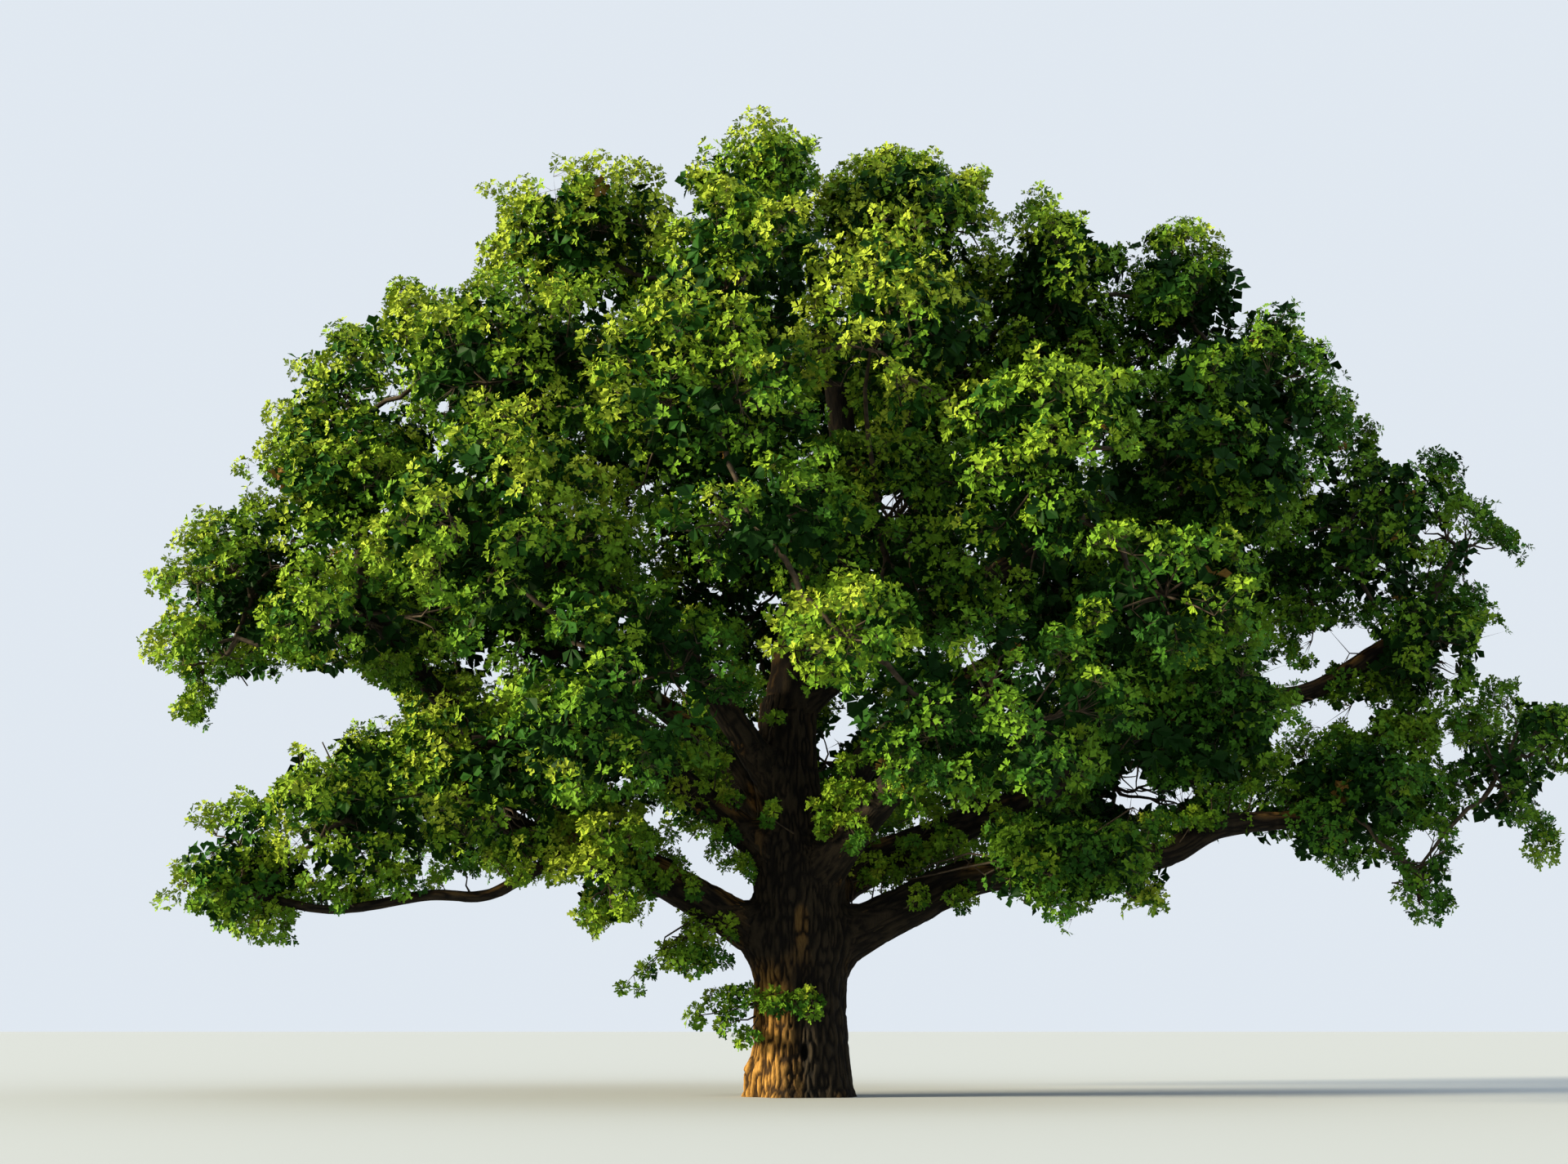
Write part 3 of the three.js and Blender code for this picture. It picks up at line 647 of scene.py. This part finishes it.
wood_pieces = [trunk_object()]
leader_rows = np.flatnonzero(axis_height >= TRUNK_TOP - LEADER_OVERLAP)[::2]
leader_along = axis_along[leader_rows] - axis_along[leader_rows[0]]
leader = (axis_route[leader_rows], leader_along, axis_radius[leader_rows])
wood_pieces.append(limb_object("bough_leader", *leader, LEADER_COLUMNS))
for limb_name, (limb_route, limb_along, limb_radius) in limbs.items():
    limb_columns = int(np.clip(2 * math.pi * limb_radius[3] / BOUGH_COLUMN, *BOUGH_COLUMNS))
    wood_pieces.append(limb_object(limb_name, limb_route, limb_along, limb_radius, limb_columns))
limbs["bough_leader"] = leader


# Foliage

masses = {name: piece for name, piece in sorted(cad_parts.items()) if name.startswith("foliage")}


def mass_shape(piece):
    """A mass's corners, triangles, tree for inside tests, box and middle."""
    mesh = piece.data
    mesh.calc_loop_triangles()
    corners = np.array([v.co for v in mesh.vertices])
    triangles = np.array([t.vertices for t in mesh.loop_triangles])
    tree = BVHTree.FromPolygons([Vector(c) for c in corners], [tuple(t) for t in triangles])
    return {"corners": corners, "triangles": triangles, "tree": tree,
            "low": corners.min(0), "high": corners.max(0), "middle": (corners.min(0) + corners.max(0)) / 2}


shapes = {name: mass_shape(piece) for name, piece in masses.items()}
CROWN_MIDDLE = np.array((1.0, 0.5, 8.0))
CROWN_HALF = np.array((13.3, 9.9, 9.8))


def distance(shape, point):
    return shape["tree"].find_nearest(Vector(point))[3]


def depth_inside(shape, point):
    """How far inside a mass's surface a point is, or -1 outside it."""
    if np.any(point < shape["low"]) or np.any(point > shape["high"]):
        return -1
    at, normal, _, gap = shape["tree"].find_nearest(Vector(point))
    return gap if (Vector(point) - at).dot(normal) < 0 else -1


def inside(shape, point):
    return depth_inside(shape, point) >= 0


def near_box(shape, point, margin):
    return np.all(point > shape["low"] - margin) and np.all(point < shape["high"] + margin)


def image_place(points):
    """Column and row of points in the photograph's frame."""
    away = points - CAMERA_AT
    depth = away[..., 1] * math.cos(CAMERA_PITCH) + away[..., 2] * math.sin(CAMERA_PITCH)
    above_middle = away[..., 2] * math.cos(CAMERA_PITCH) - away[..., 1] * math.sin(CAMERA_PITCH)
    return (FRAME_WIDTH / 2 + FOCAL_LENGTH * away[..., 0] / depth,
            FRAME_HEIGHT / 2 - FOCAL_LENGTH * above_middle / depth)


def in_window(points):
    column, row = image_place(points)
    hit = np.zeros(column.shape, bool)
    for u, v, half_width, half_height in WINDOWS:
        across = (column - u) / (half_width + WINDOW_MARGIN)
        up = (row - v) / (half_height + WINDOW_MARGIN)
        hit |= across**2 + up**2 < 1
    return hit


def surface_points(shape, per_area):
    """Random points on a mass with the face normals there."""
    a, b, c = (shape["corners"][shape["triangles"][:, i]] for i in range(3))
    cross = np.cross(b - a, c - a)
    area = np.linalg.norm(cross, axis=1) / 2
    count = int(area.sum() * per_area)
    chosen = rng.choice(len(area), count, p=area / area.sum())
    s, t = rng.random((2, count, 1))
    s, t = np.where(s + t > 1, 1 - s, s), np.where(s + t > 1, 1 - t, t)
    return a[chosen] + s * (b - a)[chosen] + t * (c - a)[chosen], normalised(cross)[chosen]


def thinned(points, spacing):
    """Marks the points to keep so that none stands nearer to an earlier one than its spacing."""
    cells, kept = {}, np.zeros(len(points), bool)
    widest = spacing.max()
    for k, (point, gap) in enumerate(zip(points, spacing)):
        cell = tuple(np.floor(point / widest).astype(int))
        near = [q for step in product((-1, 0, 1), repeat=3)
                for q in cells.get((cell[0] + step[0], cell[1] + step[1], cell[2] + step[2]), ())]
        if near and np.min(np.sum((np.array(near) - point) ** 2, axis=1)) < gap * gap:
            continue
        cells.setdefault(cell, []).append(point)
        kept[k] = True
    return kept


def mass_scale(shape):
    """1 for a mass of full size, and less for one whose clumps have to be small."""
    return float(np.clip(np.min(shape["high"] - shape["low"]) / FULL_WIDTH, LEAST_SCALE, 1))


def crown_facing(points, outward):
    """How far each outward direction points away from the crown's middle, from -1 to 1."""
    return np.sum(outward * normalised((points - CROWN_MIDDLE) / CROWN_HALF), -1)


def gap_to_others(name, point):
    """Distance from a point outside a mass to the nearest of its neighbours."""
    gaps = [distance(shape, point) for other, shape in shapes.items()
            if other != name and near_box(shape, point, SEAM_REACH)]
    return min(gaps, default=SEAM_REACH)


def seam_places():
    """Places on the far side that lie between two masses."""
    tried = CROWN_MIDDLE + CROWN_HALF * rng.uniform(-1, 1, (SEAM_TRIES, 3))
    tried = tried[(tried[:, 1] > FAR_SIDE)
                  & (np.linalg.norm((tried - CROWN_MIDDLE) / CROWN_HALF, axis=1) > SEAM_CORE)]
    between = []
    for point in tried:
        near = [shape for shape in shapes.values() if near_box(shape, point, SEAM_GAP)]
        gaps = sorted(distance(shape, point) for shape in near)
        between.append(len(gaps) > 1 and gaps[1] < SEAM_GAP
                       and not any(inside(shape, point) for shape in near))
    tried = tried[between]
    return tried[thinned(tried, np.full(len(tried), SEAM_SPACING))]


def surface_clumps():
    """Clumps over the outside of the masses: their middles, directions, sizes, mass names, facings and
    lifts, and how many single ones come last."""
    points, outward, owners = [], [], []
    for name, shape in shapes.items():
        others = [s for n, s in shapes.items() if n != name
                  and np.all(s["low"] - 0.5 < shape["high"]) and np.all(shape["low"] - 0.5 < s["high"])]
        tried, normals = surface_points(shape, SURFACE_TRIES)
        free = [not any(inside(other, point + normal * 0.12) for other in others)
                and rng.random() < SPARSE.get(name, 1) for point, normal in zip(tried, normals)]
        points.append(tried[free])
        outward.append(normals[free])
        owners += [name] * int(np.sum(free))
    seams = seam_places()
    for single in (*SPIRES, *FILLERS, *seams):
        nearest = min(shapes, key=lambda n: distance(shapes[n], single))
        points.append(np.array([single]))
        outward.append(normalised(points[-1] - shapes[nearest]["middle"]))
        owners.append(nearest)
    points, outward, owners = np.vstack(points), np.vstack(outward), np.array(owners)
    facing = crown_facing(points, outward)
    scale = np.array([mass_scale(shapes[name]) for name in owners])
    size = rng.uniform(*CLUMP_RADIUS, len(points)) * scale
    single_sizes = [SPIRE_RADIUS] * len(SPIRES) + [FILLER_RADIUS] * (len(FILLERS) + len(seams))
    singles = len(single_sizes)
    size[-singles:] = single_sizes
    spacing = CLUMP_SPACING * size * np.where(facing > -0.1, 1, INNER_SPACING)
    spacing[-singles:] = SINGLE_SPACING
    kept = thinned(points, spacing)
    points, outward, owners, facing, scale, size = (
        values[kept] for values in (points, outward, owners, facing, scale, size))
    seam = np.array([gap_to_others(name, point + normal * 0.4)
                     for name, point, normal in zip(owners, points, outward)])
    lift = CLUMP_LIFT * (noise(points / CLUMP_WAVE, 51) - 0.5) * scale + rng.uniform(-0.2, 0.12, len(points))
    lift += SEAM_LIFT * (1 - smoothstep(0.2, SEAM_REACH, seam))
    lift[-singles:] = SINGLE_LIFT
    depth = np.clip(lift, *LIFT_LIMITS) - size - CLUMP_SINK
    depth[-singles:] = SINGLE_DEPTH
    return points + outward * depth[:, None], outward, size, owners, facing, lift, singles


def fill_places():
    """Places well inside the crown, a step behind its surface, with their mass names."""
    points, owners = [], []
    for name, shape in shapes.items():
        size = shape["high"] - shape["low"]
        tried = shape["low"] + size * rng.random((int(np.prod(size) * FILL_TRIES), 3))
        for point in tried:
            depth, deepest = max((depth_inside(other, point), key) for key, other in shapes.items())
            if deepest == name and FILL_DEPTH[0] < depth < FILL_DEPTH[1]:
                points.append(point)
                owners.append(name)
    points, owners = np.array(points), np.array(owners)
    kept = thinned(points, np.full(len(points), FILL_SPACING))
    return points[kept], owners[kept]


def shoot_places():
    """Short leafy shoots on the bare stretches of the limbs: where they start and where they end."""
    starts, ends = [], []
    for name, (route, along, radius) in limbs.items():
        direction, side, other = route_frames(route)
        spacing = LEADER_SHOOT_SPACING if name == "bough_leader" else SHOOT_SPACING
        for at in np.arange(0.9, along[-1], spacing):
            k = int(np.searchsorted(along, at + rng.uniform(-0.15, 0.15)))
            if k >= len(route) or any(inside(shape, route[k]) for shape in shapes.values()):
                continue
            turn = rng.uniform(0, 2 * math.pi)
            out = side[k] * math.cos(turn) + other[k] * math.sin(turn)
            out = normalised(out + UP * 0.5 + direction[k] * 0.5)
            end = route[k] + out * (radius[k] + rng.uniform(*SHOOT_LENGTH))
            if not in_window(end):
                starts.append(route[k] + out * radius[k] * 0.8)
                ends.append(end)
    listed = np.reshape(TRUNK_SHOOTS, (-1, 2, 3))
    return np.vstack([starts, listed[:, 0]]), np.vstack([ends, listed[:, 1]])


def square_to(axis):
    """A vector square to each axis."""
    return np.cross(axis, np.where(np.abs(axis[..., 2:3]) > 0.8, (1.0, 0.0, 0.0), UP))


def cross_frame(axis):
    """Two directions square to each axis, turned at random about it."""
    side = normalised(square_to(axis))
    other = np.cross(axis, side)
    turn = rng.uniform(0, 2 * math.pi, axis.shape[:-1])
    return turned(side, other, turn), turned(other, -side, turn)


def dome_directions(axis, count, first_tilt, last_tilt):
    """Directions over a cap round each axis, evenly spread in a spiral, from one tilt to another."""
    side, other = cross_frame(axis)
    share = (np.arange(count) + 0.5) / count
    tilt = np.arccos(np.cos(first_tilt) + (np.cos(last_tilt) - np.cos(first_tilt)) * share)
    turn = np.arange(count) * math.pi * (3 - math.sqrt(5))
    tilt = tilt + rng.normal(0, 0.12, (len(axis), count))
    turn = turn + rng.normal(0, 0.25, (len(axis), count))
    return turned(axis[:, None], turned(side[:, None], other[:, None], turn), tilt)


rosettes = []  # for each layer: owners, then places, axes and tints, then what LAYERS says of a tuft
twig_ends = []  # starts, ends and radii


def buried(points):
    """Marks the points that are inside a mass."""
    flat = points.reshape(-1, 3)
    hit = np.zeros(len(flat), bool)
    for shape in shapes.values():
        for k in np.flatnonzero(~hit & np.all((flat > shape["low"]) & (flat < shape["high"]), axis=1)):
            hit[k] = inside(shape, flat[k])
    return hit.reshape(points.shape[:-1])


def grow_sprays(layer, middle, axis, size, foot, owner, tone, share, loose=0):
    """Adds a layer of sprays to every clump: twigs from the clump's foot, and tufts of leaves round their
    ends. The last loose clumps stand outside the masses."""
    count, tilts, reaches, spray_radius, tufts, leaves, length, outline = LAYERS[layer]
    heading = dome_directions(axis, count, *np.radians(tilts))
    kept = rng.random(heading.shape[:2]) < share[:, None]
    clump = np.nonzero(kept)[0]
    heading = heading[kept]
    reach = rng.uniform(*reaches, len(clump)) * size[clump]
    if layer == "outer":
        reach += LONG_SHOOT * rng.random(len(clump)) * (rng.random(len(clump)) < LONG_SHOOT_SHARE)
    radius = spray_radius * rng.uniform(*SPRAY_SIZES, len(clump)) * np.clip(size[clump] / 0.6, 0.55, 1.15)
    centre = middle[clump] + heading * reach[:, None]
    spray_axis = normalised(heading + UP * 0.35)
    tuft = dome_directions(spray_axis, tufts, *np.radians(SPRAY_TILTS))
    out = radius[:, None] * rng.uniform(*TUFT_REACH, tuft.shape[:2])
    place = centre[:, None] + tuft * out[..., None] * SPRAY_SHAPE
    drift = (noise(centre * 0.3, 41) - 0.5) * TONE_DRIFT
    # Painted light and shade: sprays that reach out of the clump and face the sun take lighter tints, less so
    # to the right
    sunny = SUNWARD_TONE * (1 - 0.9 * smoothstep(SUNLESS_FROM, SUNLESS_TO, centre[:, 0]))
    level = (tone[clump] + OUTER_TONE * (np.sum(heading * axis[clump], -1) - 0.5) + drift
             + sunny * (heading @ SUNWARD) + rng.normal(0, SPRAY_SPREAD, len(clump)))
    level = (level[:, None] + TUFT_TONE * sunny[:, None] * (tuft @ SUNWARD)
             + rng.normal(0, TUFT_SPREAD, tuft.shape[:2]))
    tint = np.clip(np.round(level), 0, RUST - 1 if outline == "outer" else SHADE_TINT).astype(int)
    tint = np.where(rng.random(tint.shape) < RUST_SHARE, RUST, tint)
    seen = ~in_window(place)
    if outline == "inner":
        further = place + COVER * normalised((place - CROWN_MIDDLE) / CROWN_HALF)
        seen &= buried(further) | (clump >= len(middle) - loose)[:, None]
    else:
        seen &= (np.sum(seen, 1) >= tufts * LEAST_SPRAY)[:, None]
        left = np.bincount(clump, np.sum(seen, 1), len(middle))[clump]
        seen &= (left >= tufts * LEAST_CLUMP)[:, None]
    spray = np.nonzero(seen)[0]
    rosettes.append((owner[clump[spray]], (place[seen], normalised(tuft + UP * 0.45)[seen], tint[seen]),
                     (leaves, length, outline)))
    base = centre - spray_axis * (radius * 0.3)[:, None]
    used = np.unique(spray)
    twig_ends.append((foot[clump[used]], base[used], np.full(len(used), SPRAY_TWIG)))
    if outline == "outer":
        twig_ends.append((base[spray], place[seen], np.full(len(spray), TUFT_TWIG)))


def rosette_leaves(place, axis, tint, leaves, length, outline):
    """Leaves round each rosette's axis: their corners, triangles and colours."""
    template, triangles = LEAVES[outline]
    side, other = cross_frame(axis)
    shape = (len(place), leaves)
    turn = round_turns(leaves) + rng.normal(0, LEAF_TURN, shape)
    lift = rng.uniform(*LEAF_LIFT, shape)
    radial = turned(side[:, None], other[:, None], turn)
    along = normalised(turned(radial, axis[:, None], lift) - UP * LEAF_DROOP)
    normal = normalised(axis[:, None] - along * np.sum(axis[:, None] * along, -1, keepdims=True))
    across = np.cross(along, normal)
    roll = rng.normal(0, LEAF_ROLL, shape)
    across, normal = turned(across, normal, roll), turned(normal, -across, roll)
    size = length * rng.uniform(*LEAF_SIZES, shape)[..., None, None]
    width = rng.uniform(*LEAF_WIDTHS, shape)[..., None, None]
    shaped = (template[:, 0, None] * width * across[:, :, None]
              + template[:, 1, None] * along[:, :, None] + template[:, 2, None] * normal[:, :, None])
    corners = (place[:, None, None] + along[:, :, None] * STALK + size * shaped).reshape(-1, 3)
    count = shape[0] * shape[1]
    faces = (triangles[None] + (np.arange(count) * len(template))[:, None, None]).reshape(-1, 3)
    return corners, faces, np.repeat(tint, leaves * len(triangles))


def joined(parts):
    """The corners and faces of one mesh out of parts that start with their own corners and faces."""
    starts = np.cumsum([0] + [len(part[0]) for part in parts])
    return (np.vstack([part[0] for part in parts]),
            np.vstack([part[1] + start for part, start in zip(parts, starts)]))


def leaf_piece(name, owners):
    """One joined piece of the leaves on the given masses, in place of them."""
    parts = []
    for layer_owners, arrays, kind in rosettes:
        picked = np.isin(layer_owners, owners)
        parts.append(rosette_leaves(*(array[picked] for array in arrays), *kind))
    piece = mesh_object(name, *joined(parts), leaf_materials, np.concatenate([part[2] for part in parts]))
    if owners != [SHOOTS]:
        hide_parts(*owners)
    return piece


middle, outward, size, owners, facing, lift, singles = surface_clumps()
axis = normalised(outward + UP * 0.3)
clump_foot = middle - axis * (size * 0.3)[:, None]
# Painted light and shade in each clump's tone: lighter on lit masses, facing out of the crown and lifted out
# of it; deeper on masses in shade and to the right
light = np.array([MASS_LIGHT_AND_SHADE.get(name.removeprefix("foliage_"), 0) for name in owners])
tone = (BASE_TONE + rng.normal(0, CLUMP_SPREAD, len(size)) + FACING_TONE * facing + light + LIFT_TONE * lift
        - RIGHTWARD_TONE * middle[:, 0] - SHADY_SIDE * np.maximum(middle[:, 0], 0))
share = np.clip((size / CLUMP_RADIUS[1]) ** 2, 0.3, 1)
share[-singles:] = SINGLE_SHARE
grow_sprays("outer", middle, axis, size, clump_foot, owners, tone, share)
inner_share = share * (size > SOLID_CLUMP)
grow_sprays("inner", middle, axis, size, clump_foot, owners, tone - INNER_SHADE, inner_share, singles)

fill, fill_owner = fill_places()
grow_sprays("fill", fill, np.tile(UP, (len(fill), 1)), np.full(len(fill), FILL_RADIUS), fill, fill_owner,
            np.full(len(fill), FILL_TONE), np.ones(len(fill)))

shoot_start, shoot_end = shoot_places()
grow_sprays("shoot", shoot_end, normalised(shoot_end - shoot_start + UP * 0.2),
            rng.uniform(*SHOOT_SIZE, len(shoot_end)), shoot_end, np.full(len(shoot_end), SHOOTS),
            SHOOT_TONE + rng.normal(0, SHOOT_SPREAD, len(shoot_end)), np.ones(len(shoot_end)))

triangles_of = {name: sum(int(np.sum(layer_owners == name)) * leaves * len(LEAVES[outline][1])
                          for layer_owners, _, (leaves, _, outline) in rosettes) for name in shapes}
runs, filled = [[]], 0
for mass_name, count in triangles_of.items():
    if filled + count > PIECE_LIMIT:
        runs.append([])
        filled = 0
    runs[-1].append(mass_name)
    filled += count
leaf_pieces = [leaf_piece(f"leaves_{k}", run) for k, run in enumerate(runs, 1)]
leaf_pieces.append(leaf_piece("leaves_shoots", [SHOOTS]))


# Branches and twigs

def tubes(routes, radii, sides):
    """Corners and quads of many open tubes: routes (n, k, 3) and radii (n, k)."""
    direction = normalised(np.gradient(routes, axis=1))
    whole = normalised(routes[:, -1] - routes[:, 0])
    side = square_to(whole)[:, None]
    side = normalised(side - direction * np.sum(side * direction, -1, keepdims=True))
    other = np.cross(direction, side)
    ring = turned(side[:, :, None], other[:, :, None], round_turns(sides))
    corners = routes[:, :, None] + radii[:, :, None, None] * ring
    return corners.reshape(-1, 3), ring_quads(corners.shape[:3])


def grow_branch(kind, start, end, heading, first, last):
    """Adds a branch that leaves along heading, wanders a little and tapers, and gives its route and
    radii."""
    _, count, wander = kind
    length = np.linalg.norm(end - start)
    leaving = start + normalised(heading + normalised(end - start)) * length * 0.35
    arriving = end - normalised(end - start) * length * 0.3 + UP * length * 0.06
    t = np.linspace(0, 1, count)[:, None]
    shake = rng.normal(0, wander * length, (count, 3))
    shake[0] = shake[-1] = 0
    route = ((1 - t) ** 3 * start + 3 * (1 - t) ** 2 * t * leaving
             + 3 * (1 - t) * t**2 * arriving + t**3 * end + shake)
    radii = first + (last - first) * np.linspace(0, 1, count) ** 0.8
    branch_sets[kind].append((route, radii))
    return route, radii


branch_sets = {STEM: [], LIMB: [], TWIG: []}
skeleton = []  # where a stem can start: the place, the heading and the radius there
for limb_route, limb_along, limb_radius in limbs.values():
    limb_direction = normalised(np.gradient(limb_route, axis=0))
    for k in range(8, len(limb_route), 3):
        skeleton.append((limb_route[k], limb_direction[k], limb_radius[k]))

# The feet of the clumps of each mass that no stem has reached yet
all_feet, all_owners = np.vstack([clump_foot, fill]), np.concatenate([owners, fill_owner])
waiting = {name: all_feet[all_owners == name] for name in shapes if np.any(all_owners == name)}


def best_start(target, crowd):
    """Which place a branch to the target starts from, out of places as in the skeleton, and its cost."""
    places = np.array([s[0] for s in crowd])
    headings = np.array([s[1] for s in crowd])
    way = target - places
    length = np.linalg.norm(way, axis=1)
    lean = np.sum(normalised(way) * headings, 1)
    cost = length * (1.35 - 0.5 * lean) + 0.2
    best = int(np.argmin(cost))
    return best, cost[best]


def split_clumps(feet, hub, count):
    """Groups of clumps by their direction from the hub."""
    direction = normalised(feet - hub)
    middle = direction[rng.choice(len(feet), count, replace=False)]
    for _ in range(6):
        group = np.argmax(direction @ middle.T, axis=1)
        middle = np.array([normalised(direction[group == g].mean(0)) if np.any(group == g) else middle[g]
                           for g in range(count)])
    return np.argmax(direction @ middle.T, axis=1)


# A stem to the mass that is cheapest to reach, then limbs to groups of its clumps, and a twig to each clump
while waiting:
    hubs = {}
    for name, feet in waiting.items():
        hub = shapes[name]["middle"] * 0.6 + feet.mean(0) * 0.4
        hubs[name] = (hub, *best_start(hub, skeleton))
    name = min(hubs, key=lambda n: hubs[n][2])
    hub, start, _ = hubs[name]
    feet = waiting.pop(name)
    place, heading, parent = skeleton[start]
    reach = np.linalg.norm(hub - place)
    girth = min(parent * STEM_SHARE, STEM_LEAST + STEM_GAIN * reach)
    route, thick = grow_branch(STEM, place, hub, heading, girth, STEM_END)
    stem = list(zip(route, normalised(np.gradient(route, axis=0)), thick))
    if reach > 1.2:
        skeleton.extend(stem[2:])
    groups = max(1, min(len(feet), round(len(feet) / LIMB_CLUMPS)))
    group = split_clumps(feet, hub, groups)
    for g in range(groups):
        members = feet[group == g]
        if not len(members):
            continue
        knot = hub + (members.mean(0) - hub) * 0.62
        best, _ = best_start(knot, stem[3:])
        place, heading, parent = stem[3:][best]
        limb, _ = grow_branch(LIMB, place, knot, heading, min(parent * LIMB_SHARE, LIMB_START), LIMB_END)
        knot_heading = normalised(limb[-1] - limb[-2])
        skeleton.append((limb[3], normalised(limb[4] - limb[3]), 0.04))
        for foot in members:
            at = limb[-1] if rng.random() < 0.6 else limb[-2]
            grow_branch(TWIG, at, foot, knot_heading, *TWIG_RADII)

for start, end in zip(shoot_start, shoot_end):
    grow_branch(TWIG, start, end, 0, *SHOOT_RADII)

tube_parts = []
for (sides, *_), grown in branch_sets.items():
    routes, radii = zip(*grown)
    tube_parts.append(tubes(np.array(routes), np.array(radii), sides))
branches = mesh_object("branches", *joined(tube_parts), [branch_bark], smooth=True)


def cones(start, end, radius):
    """Three-sided cones, for twigs."""
    direction = normalised(end - start)
    side, other = cross_frame(direction)
    ring = turned(side[:, None], other[:, None], round_turns(3))
    corners = np.concatenate([start[:, None] + ring * radius[:, None, None], end[:, None]], 1)
    base = (np.arange(len(start)) * 4)[:, None, None]
    faces = np.array([(0, 1, 3), (1, 2, 3), (2, 0, 3)])[None] + base
    return corners.reshape(-1, 3), faces.reshape(-1, 3)


twig_corners, twig_faces = cones(*(np.concatenate(part) for part in zip(*twig_ends)))
twigs = mesh_object("twigs", twig_corners, twig_faces, [branch_bark])

for pieces, slot in ((wood_pieces, "bark"), (leaf_pieces, "foliage"), ((branches, twigs), "bark")):
    for piece in pieces:
        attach(piece, "root")


# Floor, light and camera

FLOOR_HALF = 2500
floor_corners = np.array([(-1, -1, 0), (1, -1, 0), (1, 1, 0), (-1, 1, 0)], float) * FLOOR_HALF
floor_material = new_material("floor", (0.44, 0.47, 0.49), 0.9, 0.1)
floor = mesh_object("floor", floor_corners, np.array([(0, 1, 2, 3)]), [floor_material])
floor.location.z = -0.002  # clear of the trunk's flat cut


def add_sun(name, source, energy, width, colour):
    """Light from a far round source that is some degrees wide."""
    data = bpy.data.lights.new(name, "SUN")
    data.energy, data.angle, data.color = energy, math.radians(width), colour
    light = bpy.data.objects.new(name, data)
    light.rotation_euler = Vector(source).to_track_quat("Z", "Y").to_euler()
    bpy.context.scene.collection.objects.link(light)


add_sun("sun", (-0.93, -0.24, 0.23), 12.5, 12, (1.0, 0.87, 0.6))
add_sun("fill_light", (0.62, -0.35, 0.7), 1.25, 100, (0.82, 0.93, 1.0))

SOFT_LIGHT, BACKDROP = 0.62, 0.88  # brightness of the plain backdrop as a light, and as it looks
world = bpy.data.worlds.new("studio")
world.use_nodes = True
rays = world.node_tree.nodes.new("ShaderNodeLightPath")
strength = multiply_add(world.node_tree, rays.outputs["Is Camera Ray"], BACKDROP - SOFT_LIGHT, SOFT_LIGHT)
set_inputs(world.node_tree, world.node_tree.nodes["Background"],
           {"Color": (0.85, 0.92, 1.0, 1), "Strength": strength})
bpy.context.scene.world = world

camera_data = bpy.data.cameras.new("camera")
camera_data.sensor_fit = "HORIZONTAL"
camera_data.sensor_width = 36
camera_data.lens = FOCAL_LENGTH / FRAME_WIDTH * camera_data.sensor_width
camera_data.clip_end = 8000
camera = bpy.data.objects.new("camera", camera_data)
camera.location = CAMERA_AT
camera.rotation_euler = (math.pi / 2 + CAMERA_PITCH, 0, 0)
bpy.context.scene.collection.objects.link(camera)
bpy.context.scene.camera = camera
bpy.context.scene.view_settings.view_transform = "Standard"
